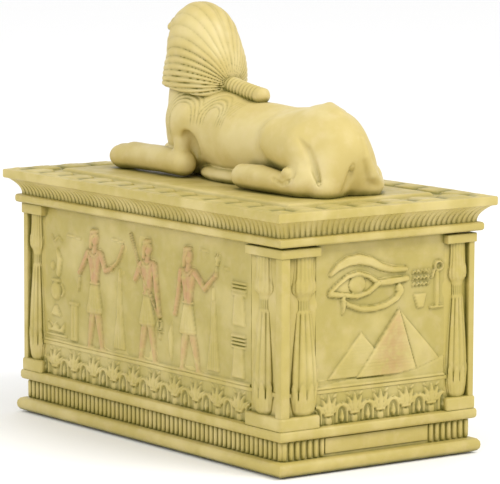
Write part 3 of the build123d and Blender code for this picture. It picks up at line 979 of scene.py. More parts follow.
@dataclass
class Casket:
    """The casket: its body with the plinth, corner posts, columns, reeds and carved panels.

    Attributes:
        sizes: Its dimensions.
        pieces: Every piece made so far.
    """

    sizes: CasketSizes = field(default_factory=CasketSizes)
    pieces: list[bpy.types.Object] = field(default_factory=list)

    def keep(self, piece: bpy.types.Object, smooth_deg: float = 42.0) -> None:
        """Settles a piece on the casket's body in place of the plain casting."""
        settle(piece, Body.CASE, smooth_deg)
        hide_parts("case_shell")
        self.pieces.append(piece)

    def body(self) -> None:
        """Draws the hollow body with its plinth, then cuts the airline arch and the outlet rim."""
        s = self.sizes
        wall, cavity = s.wall[0] - s.plinth[0], s.cavity[0] - s.plinth[0]
        profile = [
            (-8.0, 9.0), (-8.0, 0.5), (-2.0, 0.5), (-0.9, 0.9), (-0.2, 1.8), (0.0, 2.95), (-0.2, 4.1),
            (-0.9, 5.0), (-2.0, 5.4), (-3.4, 5.42), (-3.4, 12.0), (-2.0, 12.1), (-1.4, 12.4), (-1.1, 13.1),
            (-1.1, 14.8), (-1.4, 15.5), (-2.1, 15.8), (wall, 15.82), (wall, 26.4), (wall + 0.35, 26.55),
            (wall + 0.5, 27.2), (wall + 0.35, 27.85), (wall, s.frame_top), (wall, s.top), (cavity, s.top),
            (cavity, s.floor_top),
        ]
        piece = stack_solid("case_body", moulded(s.plinth, profile))
        bpy.ops.mesh.primitive_cylinder_add(vertices=48, radius=6, depth=14, location=(0, 40, 2.5),
                                            rotation=(math.pi / 2, 0, 0))
        arch = bpy.context.object
        bpy.ops.object.transform_apply(location=True, rotation=True, scale=True)
        points = get_points(arch)
        set_points(arch, np.where(points[:, 2:] < 2.4, points - (0, 0, 5), points))
        rim = block("rim_cut", (s.cavity[0] - 1, -60, s.top - s.outlet_drop), (90, 60, s.top + 2), 0.01)
        for cutter in (arch, rim):
            finish_modifier(piece, "BOOLEAN", operation="DIFFERENCE", object=cutter, solver="EXACT")
            bpy.data.objects.remove(cutter)
        crisp = math.radians(50)
        finish_modifier(piece, "BEVEL", width=0.25, segments=2, limit_method="ANGLE", angle_limit=crisp)
        self.keep(piece)

    def bosses(self) -> None:
        """Blocks under the floor that carry the foot pads."""
        master = block("pad_bosses", (61.6, 24.6, 0.5), (73.0, 36.0, 9.6))
        self.keep(copies(master, "pad_bosses", [corner_copy(*signs) for signs in CORNERS]))

    def posts(self) -> None:
        """Corner posts: base block, thin ridge and abacus."""
        s = self.sizes
        x, y = s.block
        for kind in KINDS:
            low_x, low_y = x - kind.length, y - kind.breadth
            parts = [
                block("base", (low_x, low_y, s.ledge_top - 0.5), (x, y, s.base_block_top), 0.9),
                block("ridge", (x - kind.ridge - 0.5, y - kind.ridge - 0.5, 19), (x - 0.5, y - 0.5, 74), 0.5),
                block("abacus", (low_x, low_y, s.abacus_bottom), (x, y, s.top - 0.02), 0.4),
            ]
            master = join(parts, f"posts_{kind.name}")
            self.keep(copies(master, f"posts_{kind.name}", [self.lowered(*signs) for signs in kind.signs]))

    def lowered(self, sign_x: int, sign_y: int) -> Move:
        """Move into a corner, with the top let down at the end where the bubbles leave."""
        drop = self.sizes.outlet_drop if sign_x > 0 else 0.0

        def move(points: Array) -> Array:
            """Lowers the top and mirrors the rest."""
            shift = np.outer(points[:, 2] > self.sizes.top - 1.5, (0, 0, drop))
            return (points - shift) * (sign_x, sign_y, 1)

        return move

    def column(self) -> bpy.types.Object:
        """One bundle column with its leaf sheath, ribbed neck and bud, standing on the origin."""
        outline = [
            (20.0, 4.1), (22.0, 4.6), (25.0, 5.4), (29.5, 6.0), (34.0, 5.8), (41.7, 5.1), (48.0, 4.35),
            (54.0, 3.6), (54.6, 3.6), (55.0, 3.1), (58.6, 3.0), (59.0, 3.3), (59.7, 3.4), (60.1, 3.9),
            (61.2, 4.9), (62.8, 5.2), (64.5, 5.1), (66.0, 4.75), (70.0, 4.4), (73.1, 4.4),
        ]
        heights = np.linspace(20.0, 73.1, 100)
        radii = np.interp(heights, [z for z, _ in outline], [r for _, r in outline])
        piece = stack_solid("columns", [(float(r), float(r), float(z)) for z, r in zip(heights, radii)], 80)
        points = get_points(piece)
        turn = np.arctan2(points[:, 1], points[:, 0])
        z = points[:, 2]
        bulge = np.abs(np.cos(5 * turn))
        fine = np.abs(np.cos(8 * turn))
        leaf_top = 25.5 + 6.0 * bulge**0.7
        inner_top = 22.0 + 5.0 * np.abs(np.sin(5 * turn)) ** 0.7
        shaft = smoothstep(20, 21.5, z) * (1 - smoothstep(54, 54.6, z))
        neck = smoothstep(55, 55.5, z) * (1 - smoothstep(58.3, 58.7, z))
        bud = smoothstep(60.3, 61.3, z)
        in_leaf = smoothstep(-0.3, 0.3, leaf_top - z)
        in_inner = smoothstep(-0.3, 0.3, inner_top - z)
        shift = -0.8 * (1 - bulge**0.8) * shaft * (1 - 0.6 * in_leaf)
        shift += (0.3 * in_leaf + 0.25 * in_inner) * shaft
        shift -= 0.6 * (1 - fine**0.8) * (neck + bud)
        shift += 0.3 * bud * smoothstep(-0.3, 0.3, 63.5 + 2.0 * np.abs(np.cos(4 * turn)) - z)
        radius = np.hypot(points[:, 0], points[:, 1])
        growth = (radius + shift * (radius > 1)) / np.maximum(radius, 1e-6)
        set_points(piece, points * np.stack([growth, growth, np.ones_like(z)], axis=1))
        # Olive attribute: the wash with painted shade in the sunk flutes, on the neck and along the leaf
        # edges.
        edge = np.exp(-(((z - leaf_top) / 0.5) ** 2)) * shaft
        paint(piece, "wash_and_shade", np.clip(-0.3 * shift, 0, 0.3) + 0.16 * neck + 0.22 * edge)
        return piece

    def columns(self) -> None:
        """Eight flattened columns, one on each face of every corner."""
        x, y = self.sizes.block
        flatness = 0.56

        def place(kind: CornerKind, on_long: bool, sign_x: int, sign_y: int) -> Move:
            """Returns the move that stands one column on a face of one corner."""
            set_back = 0.5 + 5.4 * kind.size * flatness

            def move(points: Array) -> Array:
                """Flattens the column and stands it in its place."""
                across, out, height = points.T
                across, out = across * kind.size, out * kind.size * flatness
                if on_long:
                    on_x, on_y = x - kind.axes[0] + across, y - set_back + out
                else:
                    on_x, on_y = x - set_back + out, y - kind.axes[1] + across
                return np.stack([sign_x * on_x, sign_y * on_y, height], axis=1)

            return move

        moves = []
        for kind in KINDS:
            for signs in kind.signs:
                moves += [place(kind, on_long, *signs) for on_long in (True, False)]
        self.keep(copies(self.column(), "columns", moves), 60)

    def reeds(self) -> None:
        """Upright reeds round the plinth, with a blank strip in the middle of each end."""
        reed = [(0.55, 0.55, 5.5), (0.98, 0.9, 6.0), (1.02, 0.95, 9), (1.02, 0.95, 11.4), (0.6, 0.55, 12.1)]
        master = stack_solid("plinth_reeds", reed, 12)
        moves = []
        for side, half, out, blank in ((Side.FRONT, 76.2, 39.6, 0.0), (Side.BACK, 76.2, 39.6, 6.9),
                                       (Side.RIGHT, 39.2, 76.6, 22.6), (Side.LEFT, 39.2, 76.6, 22.6)):
            count = int(round(2 * half / 2.6))
            for index in range(count + 1):
                along = (index / count - 0.5) * 2 * (half - 0.4)
                if abs(along) >= blank:
                    x, y = onto(side, along, out)
                    moves.append(lambda points, x=x, y=y: points + (x, y, 0))
        self.keep(copies(master, "plinth_reeds", moves), 60)

    def strips(self) -> None:
        """Plain sunk strip between the reeds at each end."""
        master = block("end_strips", (75.6, -22.0, 6.3), (77.1, 22.0, 11.7), 0.3)
        moves = [lambda points: points, lambda points: points * (-1, 1, 1)]
        self.keep(copies(master, "end_strips", moves))

    def panels(self) -> None:
        """Carved scenes on the four walls and the lotus frieze below them."""
        s = self.sizes
        sides = (("front", Side.FRONT), ("back", Side.BACK), ("right", Side.RIGHT), ("left", Side.LEFT))
        scene_height, frieze_height = 48.8, 10.9
        broad, narrow = KINDS
        off_long = (narrow.length - broad.length) / 2
        off_end = (broad.breadth - narrow.breadth) / 2
        long_width = 2 * s.block[0] - broad.length - narrow.length + 1.0
        end_width = 2 * s.block[1] - broad.breadth - narrow.breadth + 1.0
        procession = ProcessionPanel(long_width, scene_height).carve()
        long_frieze = LotusFrieze(long_width, frieze_height, 10).carve()
        eye = EyePanel(end_width, scene_height).carve()
        end_frieze = LotusFrieze(end_width, frieze_height, 5).carve()
        scenes = {True: (procession, long_frieze, off_long), False: (eye, end_frieze, off_end)}
        for label, side in sides:
            long_side = side in (Side.FRONT, Side.BACK)
            wall = s.wall[1] if long_side else s.wall[0]
            scene, frieze, shift = scenes[long_side]
            self.keep(scene.slab(f"panel_{label}", side, wall + 0.1, s.frame_top - 0.1, shift), 80)
            self.keep(frieze.slab(f"frieze_{label}", side, wall + 0.1, s.ledge_top - 0.1, shift), 80)

    def build(self) -> None:
        """Makes every piece of the casket."""
        self.body()
        self.bosses()
        self.posts()
        self.columns()
        self.reeds()
        self.strips()
        self.panels()


# ---------------------------------------------------------------- lid


@dataclass
class Lid:
    """The lift-off lid: its moulded body, the reeds of the hollow moulding and the carved top.

    Attributes:
        half: Half length and half depth of the plinth that the lid matches.
        bead_top: Height of the bead's top, where the hollow moulding starts.
        flare_top: Height where the fascia starts.
        top: Height of the fascia's top.
        pieces: Every piece made so far.
    """

    half: Point2 = (80.0, 43.0)
    bead_top: float = 79.9
    flare_top: float = 85.6
    top: float = 88.9
    pieces: list[bpy.types.Object] = field(default_factory=list)

    def keep(self, piece: bpy.types.Object, smooth_deg: float = 42.0) -> None:
        """Settles a piece on the lid in place of the plain casting."""
        settle(piece, Body.LID, smooth_deg)
        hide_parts("lid_casting")
        self.pieces.append(piece)

    def flare(self, share: Array) -> Array:
        """How far the hollow moulding stands out at a share of its height."""
        return 3.8 * share**2.2 - 1.2

    def body(self) -> None:
        """Draws the hollow lid from its ceiling down to the lip and up to the fascia."""
        profile = [
            (-14.6, 84.4), (-14.6, 72.9), (-11.6, 72.9), (-11.6, 76.9), (-0.6, 76.9), (-0.1, 77.1),
            (0.2, 77.7), (0.2, 79.1), (-0.1, 79.7), (-0.6, self.bead_top), (-1.6, self.bead_top + 0.02),
        ]
        for share in np.linspace(0.08, 1, 12):
            height = self.bead_top + share * (self.flare_top - self.bead_top)
            profile.append((float(self.flare(share)) - 0.4, height))
        profile += [(3.0, 85.62), (3.3, 85.8), (3.4, 86.2), (3.4, 88.3), (3.2, 88.7), (2.8, 88.75)]
        profile.append((2.2, 87.2))
        self.keep(stack_solid("lid_body", moulded(self.half, profile)))

    def reeds(self) -> None:
        """Leaning reeds that fill the hollow moulding, fanned so that they meet at the corners."""
        shares = np.linspace(0, 1, 9)
        master = stack_solid("lid_reeds", [(1, 1, float(share)) for share in shares], 10)
        rise = self.flare_top - self.bead_top
        moves = []
        for side, half, out, count in ((Side.FRONT, *self.half, 67), (Side.BACK, *self.half, 67),
                                       (Side.RIGHT, *self.half[::-1], 37), (Side.LEFT, *self.half[::-1], 37)):
            for index in range(count):
                middle = (2 * (index + 0.5) / count - 1) * (half - 0.9)

                def move(points: Array, side: Side = side, half: float = half, out: float = out,
                         middle: float = middle) -> Array:
                    """Leans one reed along the hollow of the moulding."""
                    share = points[:, 2]
                    spread = (half + self.flare(share)) / half
                    along = (middle + points[:, 0] * 0.92) * spread
                    face = out + self.flare(share) - 0.42 - points[:, 1] * 0.42
                    x, y = onto(side, along, face)
                    return np.stack([x, y, self.bead_top + share * rise * 1.02], axis=1)

                moves.append(move)
        self.keep(copies(master, "lid_reeds", moves), 70)

    def carved_top(self) -> None:
        """Carves the lid's top: a smooth rim, a border of pointed leaves and a raised platform."""
        half_x, half_y = self.half[0] + 3.4, self.half[1] + 3.4
        relief = Relief(2 * half_x - 0.6, 2 * half_y - 0.6, 0.5)
        u, v = relief.u, relief.v - relief.height / 2
        from_edge = np.minimum(half_x - np.abs(u), half_y - np.abs(v))
        on_long = (half_y - np.abs(v)) < (half_x - np.abs(u))
        along = np.where(on_long, u, v)
        count = np.where(on_long, 12, 6)
        span = np.where(on_long, 2 * (half_x - 8), 2 * (half_y - 8))
        phase = (along / span * count) % 1.0
        lobe = 1 - np.abs(2 * phase - 1)
        round_off = 1 - np.sqrt(np.clip(lobe * (2 - lobe), 0, 1))
        leaf = 11.6 - 6.4 * round_off
        inner = 10.0 - 5.2 * round_off
        height = np.where((from_edge > 2.2) & (from_edge < leaf), 0.45, 0.0)
        height -= 0.4 * np.exp(-(((from_edge - inner) / 0.4) ** 2)) * (from_edge > 2.6)
        height -= 0.5 * np.exp(-((lobe * 3.0) ** 2)) * (from_edge > 2.6) * (from_edge < 12.4)
        veins = np.maximum(0, np.cos(phase * 10 * math.pi)) ** 2
        height -= 0.16 * veins * (from_edge > 3) * (from_edge < inner - 0.6)
        height -= 0.45 * np.exp(-(((from_edge - 2.3) / 0.35) ** 2))
        height -= 0.5 * (from_edge > leaf) * (from_edge < 15.4)
        height += 0.6 * smoothstep(15.2, 16.4, from_edge)
        relief.h = relief.blurred(height, 0.25)
        relief.weather(5, 0.03)
        relief.h = np.minimum(relief.h, 0.74)
        relief.h -= 0.5 * np.clip(1 - from_edge / 1.2, 0, 1) ** 2
        # Painted shade: dark lines in the gaps between the leaves and just past their tips, where the leaves'
        # undercuts lie in shade.
        gaps = np.exp(-((lobe * 3.0) ** 2)) * (from_edge > 3.2) * (from_edge < 13.4)
        tips = np.exp(-(((from_edge - leaf - 0.4) / 0.6) ** 2)) * (from_edge > 4)
        relief.drawn_shade = 0.7 * np.maximum(gaps, tips)
        right, away, up = np.eye(3)
        origin = np.array([0.0, -relief.height / 2, self.top])
        self.keep(relief.mesh("lid_top", origin, right, away, up, 1.4), 80)

    def build(self) -> None:
        """Makes every piece of the lid."""
        self.body()
        self.reeds()
        self.carved_top()


# ---------------------------------------------------------------- sphinx


@dataclass(frozen=True)
class Mass:
    """A rounded mass of a figure.

    Attributes:
        centre: Its middle.
        radii: Its half sizes along X, Y and Z.
    """

    centre: Point3
    radii: Point3

    def distance(self, points: Array) -> Array:
        """Signed distance, negative inside."""
        offset = points - np.array(self.centre)
        radii = np.array(self.radii)
        scaled = np.linalg.norm(offset / radii, axis=1)
        steep = np.linalg.norm(offset / radii**2, axis=1)
        return scaled * (scaled - 1) / (steep + 1e-9)

    def mirrored(self) -> "Mass":
        """The same mass on the other side of the figure."""
        x, y, z = self.centre
        return Mass((x, -y, z), self.radii)

    def rough_out(self) -> bpy.types.Object:
        """The mass as a plain ball."""
        bpy.ops.mesh.primitive_uv_sphere_add(segments=40, ring_count=24, radius=1, location=self.centre)
        ball = bpy.context.object
        ball.scale = self.radii
        bpy.ops.object.transform_apply(location=True, rotation=True, scale=True)
        return ball


@dataclass(frozen=True)
class Limb:
    """A round limb through several points.

    Attributes:
        points: The points.
        radii: Its radius at each point.
    """

    points: tuple[Point3, ...]
    radii: tuple[float, ...]

    def distance(self, points: Array) -> Array:
        """Signed distance, negative inside."""
        best = np.full(len(points), np.inf)
        for start, end, r0, r1 in zip(self.points, self.points[1:], self.radii, self.radii[1:]):
            axis = np.subtract(end, start)
            share = np.clip((points - start) @ axis / (axis @ axis), 0, 1)
            off = np.linalg.norm(points - start - share[:, None] * axis, axis=1)
            best = np.minimum(best, off - (r0 + share * (r1 - r0)))
        return best

    def mirrored(self) -> "Limb":
        """The same limb on the other side of the figure."""
        return Limb(tuple((x, -y, z) for x, y, z in self.points), self.radii)

    def rough_out(self) -> bpy.types.Object:
        """The limb as a string of balls."""
        balls = []
        for start, end, r0, r1 in zip(self.points, self.points[1:], self.radii, self.radii[1:]):
            steps = max(2, int(math.dist(start, end) / min(r0, r1) * 1.6))
            for share in np.linspace(0, 1, steps):
                centre = tuple(float(a + share * (b - a)) for a, b in zip(start, end))
                radius = r0 + share * (r1 - r0)
                balls.append(Mass(centre, (radius, radius, radius)).rough_out())
        return join(balls, "limb")


@dataclass
class Sculpture:
    """A figure built up from masses and limbs that run smoothly into each other.

    Attributes:
        name: The name of the piece.
        voxel: Spacing of its surface.
        steps: In order, each form, how softly it meets those before it, and whether it adds or takes away.
    """

    name: str
    voxel: float
    steps: list[tuple[Mass | Limb, float, bool]] = field(default_factory=list)

    def add(self, form: Mass | Limb, blend: float, pair: bool = False) -> None:
        """Adds a form, and its mirror image for a pair."""
        self.steps.append((form, blend, True))
        if pair:
            self.steps.append((form.mirrored(), blend, True))

    def cut(self, form: Mass | Limb, blend: float, pair: bool = False) -> None:
        """Takes a form away, and its mirror image for a pair."""
        self.steps.append((form, blend, False))
        if pair:
            self.steps.append((form.mirrored(), blend, False))

    def distance(self, points: Array) -> Array:
        """Signed distance to the whole figure, negative inside."""
        whole = np.full(len(points), 1e3)
        for form, blend, adds in self.steps:
            other = form.distance(points) if adds else -form.distance(points)
            overlap = np.clip(blend - np.abs(whole - other), 0, None) ** 2 / (4 * blend)
            whole = np.minimum(whole, other) - overlap if adds else np.maximum(whole, other) + overlap
        return whole

    def slope(self, points: Array) -> Array:
        """Gradient of the distance, one row for each point."""
        step = 0.04
        moves = step * np.eye(3)
        parts = [self.distance(points + move) - self.distance(points - move) for move in moves]
        return np.stack(parts, axis=1) / (2 * step)

    def shape(self, carving: Callable[[Array], tuple[Array, Array]], lowest: float) -> bpy.types.Object:
        """Roughs out the figure, draws its skin over the forms and carves it.

        Args:
            carving: From the points to how far each moves out and how much olive, wash with painted shade,
                its grooves get.
            lowest: Height of the flat underside.

        Returns:
            The figure, in millimetres.
        """
        piece = join([form.rough_out() for form, _, adds in self.steps if adds], self.name)
        finish_modifier(piece, "REMESH", mode="VOXEL", voxel_size=self.voxel)
        points = get_points(piece)
        for _ in range(5):
            slope = self.slope(points)
            step = self.distance(points) / np.maximum((slope**2).sum(axis=1), 0.2)
            points = points - np.clip(step, -1.2, 1.2)[:, None] * slope
        slope = self.slope(points)
        normals = slope / np.maximum(np.linalg.norm(slope, axis=1), 1e-6)[:, None]
        shift, wash_and_shade = carving(points)
        points = points + shift[:, None] * normals
        points[:, 2] = np.maximum(points[:, 2], lowest)
        set_points(piece, points)
        # The olive attribute: wash with painted shade in the carved grooves.
        paint(piece, "wash_and_shade", np.clip(wash_and_shade, 0, 0.8))
        return piece


@dataclass
class Sphinx:
    """The reclining sphinx: lion's body and tail, and the head in its pleated cloth.

    Attributes:
        lid_top: Height of the platform that it lies on.
        pieces: Every piece made so far.
    """

    lid_top: float = 89.62
    pieces: list[bpy.types.Object] = field(default_factory=list)

    def keep(self, piece: bpy.types.Object) -> None:
        """Settles a piece of the sphinx in place of the plain figure."""
        settle(piece, Body.LID, 80)
        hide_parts("sphinx_figure")
        self.pieces.append(piece)

    def trunk(self, body: Sculpture) -> None:
        """Adds the chest, ribs, loin, rump, withers and neck, and the haunches."""
        body.add(Mass((-23, 0, 106), (13.5, 13.5, 17)), 0.1)
        body.add(Mass((4, 0, 104.5), (26, 14.2, 13.8)), 6)
        body.add(Mass((28, 0, 104), (20, 12, 13.2)), 7)
        body.add(Mass((47, 0, 104), (18.6, 13.4, 15)), 6)
        body.add(Mass((-10, 0, 112), (14, 10, 9)), 6)
        body.add(Mass((-24, 0, 120), (12, 11, 13)), 6)
        body.add(Limb(((33.6, 8.6, 106.6), (46, 8.6, 104.4)), (7.2, 8.4)), 5.0, True)
        body.cut(Mass((27.2, 17.6, 96.5), (6.6, 5.6, 9.4)), 1.3, True)

    def forelegs(self, body: Sculpture) -> None:
        """Adds the shoulders, the gaps behind the arms, the belly's foot, the arms and the paws."""
        body.add(Mass((-18, 9.6, 109.5), (10.0, 5.6, 6.6)), 4.5, True)
        body.cut(Mass((-14.2, 13.6, 100.0), (4.2, 5.6, 6.8)), 0.8, True)
        body.add(Mass((5, 0, 91.5), (25, 12.4, 4.6)), 0.8)
        body.add(Limb(((-20.0, 8.8, 109), (-20.0, 11.6, 102), (-19.6, 12.2, 95)), (3.6, 2.9, 3.2)), 0.9, True)
        forearm = ((-18.0, 12.6, 94.6), (-31, 12.2, 94.9), (-50, 11.5, 94.6))
        body.add(Limb(forearm, (4.6, 4.7, 4.8)), 1.0, True)
        body.add(Mass((-55, 11.5, 93.8), (7.2, 5.5, 4.7)), 1.6, True)

    def hind_legs(self, body: Sculpture) -> None:
        """Adds the shanks, the long hind feet with their heels, and the buttocks."""
        shank = ((48.6, 11.0, 106), (51.6, 12.6, 98), (53.4, 13.2, 93))
        body.add(Limb(shank, (4.2, 4.2, 4.4)), 2.2, True)
        foot = ((22.4, 16.2, 94.0), (33, 16.4, 94.2), (45, 15.8, 93.4), (53, 14.8, 93.4))
        body.add(Limb(foot, (4.2, 4.5, 3.8, 4.2)), 0.8, True)
        body.add(Mass((54.6, 13.6, 94.6), (4.6, 4.0, 5.0)), 1.4, True)
        body.add(Mass((48.6, 16.0, 96.6), (3.4, 2.9, 2.9)), 0.5, True)
        body.add(Mass((57.0, 5.6, 97), (7.4, 7.6, 10)), 3.5, True)
        body.add(Limb(((56, 6.0, 96), (59.4, 9.4, 92)), (6.0, 4.6)), 2.4, True)

    def tail(self, body: Sculpture) -> None:
        """Adds the tail, from the rump round the left haunch and up to its tuft on the back."""
        path = ((64.0, 2.6, 109), (65.0, 3.6, 103), (64.2, 6.6, 97.0), (61.4, 11.4, 93), (54.5, 17.6, 92.2),
                (45, 19.4, 93.6), (41.5, 18.4, 100), (42.5, 15.0, 108), (45.4, 8.4, 115.4), (48, 1.5, 118.0))
        body.add(Limb(path, (1.2, 1.8, 2.2, 2.2, 2.0, 2.0, 1.9, 1.9, 2.0, 2.2)), 1.0)
        body.add(Mass((48.4, 0.0, 117.4), (7.8, 3.0, 2.0)), 1.6)

    def creases(self, body: Sculpture) -> None:
        """Cuts the creases of the flank, foot and haunch, and the one beside the tail."""
        body.cut(Limb(((26.4, 14.6, 106.4), (27.6, 15.4, 103.6)), (0.5, 1.0)), 1.2, True)
        above_foot = ((29.5, 16.0, 101.0), (38, 17.6, 99.4), (46, 18.2, 98.2))
        body.cut(Limb(above_foot, (0.5, 0.8, 0.6)), 0.7, True)
        round_heel = ((44.0, 19.2, 95.0), (48.6, 19.4, 93.6), (52.8, 18.2, 95.6), (52.6, 16.6, 100.6))
        body.cut(Limb(round_heel, (0.4, 0.6, 0.7, 0.4)), 0.6, True)
        behind_shank = ((51.5, 14.8, 109.4), (55.0, 13.8, 105.6), (58.0, 13.4, 101), (60.2, 13.0, 96.5),
                        (61.0, 12.6, 93.5))
        body.cut(Limb(behind_shank, (0.4, 1.5, 1.4, 1.0, 0.5)), 0.9, True)
        body.cut(Limb(((64.0, -1.6, 101), (64.4, -2.6, 96), (64.4, -3.8, 91)), (0.5, 1.2, 1.6)), 1.4)

    def lion(self) -> Sculpture:
        """Returns the lion's body as forms."""
        body = Sculpture("sphinx_body", 0.5)
        for stage in (self.trunk, self.forelegs, self.hind_legs, self.tail, self.creases):
            stage(body)
        return body

    def carve_lion(self, points: Array) -> tuple[Array, Array]:
        """Carves the mane's arcs, toes and soft unevenness into the lion's body."""
        x, y, z = points.T
        side = np.abs(y)
        first = np.hypot(x + 17.5, np.maximum(z - 110.5, 0)) - 4.6
        second = np.hypot(x + 2.5, np.maximum(z - 111.5, 0)) - 2.6
        nearest = np.minimum(first, second)
        zone = smoothstep(0, 0.5, nearest) * (1 - smoothstep(5.0, 5.5, nearest)) * smoothstep(3, 5.5, side)
        foot = np.where(x < -18, 102.5, 107.5)
        zone *= smoothstep(foot, foot + 3, z)
        lines = np.abs(np.sin(math.pi * nearest / 1.3)) ** 0.7
        mane = 0.45 * (1 - lines) * zone
        vees = np.abs(np.sin(math.pi * ((x - 5.0) * 0.9 - (z - 112) * 0.5) / 1.4)) ** 0.8
        v_zone = smoothstep(2.5, 4.0, x) * (1 - smoothstep(8.5, 10, x)) * smoothstep(111.5, 113.5, z)
        v_zone *= smoothstep(4, 6, side)
        mane = np.maximum(mane, 0.26 * (1 - vees) * v_zone)
        paw = smoothstep(-54, -57.5, x) * smoothstep(91, 93, z)
        toes = 0.55 * np.exp(-((np.abs(np.abs(side - 11.5) - 1.7) / 0.38) ** 2)) * paw
        hind = smoothstep(21.5, 19.0, x) * smoothstep(90.5, 92.5, z) * (side > 12) * (x > 16)
        toes += 0.5 * np.exp(-((np.abs(np.abs(side - 17) - 1.5) / 0.36) ** 2)) * hind
        waves = 0.12 * np.sin(x * 0.42 + side * 0.3) * np.sin(z * 0.37 + 1.3)
        groove = mane + toes
        # The second result lays the olive wash with painted shade in the mane lines and between the toes.
        return waves - groove, 0.9 * groove

    def head(self) -> Sculpture:
        """Returns the head in its cloth as forms, open at the front for the face."""
        head = Sculpture("sphinx_head", 0.36)
        head.add(Mass((-22.0, 0, 125.0), (16.0, 14.0, 21.0)), 0.1)
        head.add(Mass((-24.5, 0, 138.2), (13.0, 11.2, 12.7)), 4.0)
        head.add(Limb(((-31.0, 9.0, 128.4), (-29.4, 10.8, 122.4)), (1.6, 2.4)), 2.6, True)
        head.cut(Mass((-42.5, 0, 131.5), (14, 9.0, 12.2)), 0.8)
        head.cut(Mass((-45, 0, 104), (60, 60, 17.6)), 1.0)
        head.add(Limb(((-34.6, 3.6, 143.4), (-31.6, 8.0, 141.6)), (1.5, 1.5)), 0.8, True)
        head.cut(Mass((-32.8, 8.4, 144.6), (1.9, 1.5, 1.4)), 0.6, True)
        head.cut(Mass((-32.6, 9.8, 139.4), (2.2, 1.3, 1.5)), 0.6, True)
        return head

    def face(self) -> Sculpture:
        """Returns a calm, general face on plain proportions."""
        face = Sculpture("sphinx_face", 0.36)
        face.add(Mass((-28.6, 0, 133.5), (9.6, 8.2, 11.8)), 0.1)
        face.add(Mass((-34.6, 0, 125.4), (3.6, 3.2, 2.6)), 2.5)
        face.add(Mass((-33.0, 3.9, 129.6), (3.6, 3.2, 3.8)), 2.5, True)
        face.add(Limb(((-37.4, 0, 136.4), (-38.9, 0, 131.9)), (0.75, 1.15)), 1.2)
        face.add(Mass((-38.2, 1.0, 131.3), (1.1, 0.85, 0.75)), 0.6, True)
        face.add(Mass((-37.1, 0, 128.9), (1.2, 2.3, 0.62)), 0.5)
        face.add(Mass((-36.8, 0, 127.6), (1.2, 1.9, 0.66)), 0.4)
        eyebrow = ((-37.0, 1.5, 137.6), (-36.2, 3.8, 138.3), (-34.3, 6.2, 137.6))
        face.add(Limb(eyebrow, (0.55, 0.6, 0.4)), 0.8, True)
        face.add(Mass((-35.7, 3.5, 135.6), (1.5, 1.9, 1.0)), 0.35, True)
        face.add(Limb(((-32, 0, 122), (-26, 0, 112)), (5.4, 6.4)), 2.0)
        return face

    def carve_cloth(self, points: Array) -> tuple[Array, Array]:
        """Carves the cloth's pleats, which run together at the nape."""
        x, y, z = points.T
        rise = np.degrees(np.arctan2(z - 121.8, np.abs(y)))
        pleat = np.abs(np.sin(math.pi * (rise + 3.5) / 8.4)) ** 0.45
        depth = 0.85 - 0.45 * smoothstep(40, 60, rise)
        reach = smoothstep(-36, -33.5, x) * (0.6 + 0.4 * smoothstep(-32, -14, x))
        band = smoothstep(-31, -33, x) * smoothstep(140.2, 140.8, z) * (1 - smoothstep(144.4, 145, z))
        front = np.exp(-(((z - 140.2) / 0.4) ** 2)) * smoothstep(-31, -33, x)
        groove = depth * (1 - pleat) * reach * (rise > -14) + 0.4 * front
        soft = 0.1 * np.sin(x * 0.5) * np.sin(z * 0.45 + y * 0.3)
        # The second result lays the olive wash with painted shade in the pleats and under the band's edge.
        return soft + 0.3 * band - groove, 0.75 * groove

    def carve_face(self, points: Array) -> tuple[Array, Array]:
        """Carves the lines of the eyes and mouth."""
        x, y, z = points.T
        side = np.abs(y)
        in_front = x < -33
        lid = np.exp(-((np.hypot((side - 3.5) / 2.3, (z - 135.6) / 1.15) - 1) / 0.16) ** 2)
        mouth = np.exp(-(((z - 128.25) / 0.24) ** 2)) * (side < 2.5)
        groove = (0.22 * lid + 0.25 * mouth) * in_front
        # The second result paints shade, with the wash, into the lines of the eyes and mouth.
        return -groove, 1.2 * groove

    def queue(self) -> None:
        """The cloth's gathered tail, ringed along its length."""
        length, ring_pitch, last_ring = 24, 1.9, 20.4

        def ringing(heights: Array) -> Array:
            """How deep in a groove between two rings each height lies, from 0 to 1."""
            return np.abs(np.cos(math.pi * heights / ring_pitch)) ** 3 * (heights < last_ring)

        heights = np.linspace(0, length, 97)
        radii = np.interp(heights, [0, 2, 6, 18, 22, 23.4, 24], [2.4, 3.2, 3.2, 3.0, 2.9, 2.0, 0.5])
        ringed = radii - 0.42 * ringing(heights) * (heights > 2)
        levels = [(float(radius), float(radius), float(height)) for height, radius in zip(heights, ringed)]
        piece = stack_solid("sphinx_queue", levels, 32)
        start, end = np.array([-9.8, 0.0, 123.0]), np.array([13.6, 0.0, 119.6])
        ahead = (end - start) / np.linalg.norm(end - start)
        up = np.array([-ahead[2], 0.0, ahead[0]])
        points = get_points(piece)
        upward, aside, onward = points[:, 0:1], points[:, 1:2], points[:, 2:]
        sag = 0.385 * np.sin(onward / length * math.pi)
        set_points(piece, start + onward * ahead + (upward - sag) * up + aside * np.array([0.0, 1.0, 0.0]))
        # Paints the olive wash with painted shade between the rings.
        paint(piece, "wash_and_shade", 0.3 * ringing(points[:, 2]))
        self.keep(piece)

    def build(self) -> None:
        """Makes every piece of the sphinx."""
        self.keep(self.lion().shape(self.carve_lion, self.lid_top))
        self.keep(self.head().shape(self.carve_cloth, self.lid_top))
        self.keep(self.face().shape(self.carve_face, self.lid_top))
        self.queue()


# ---------------------------------------------------------------- air kit, pads and finishes


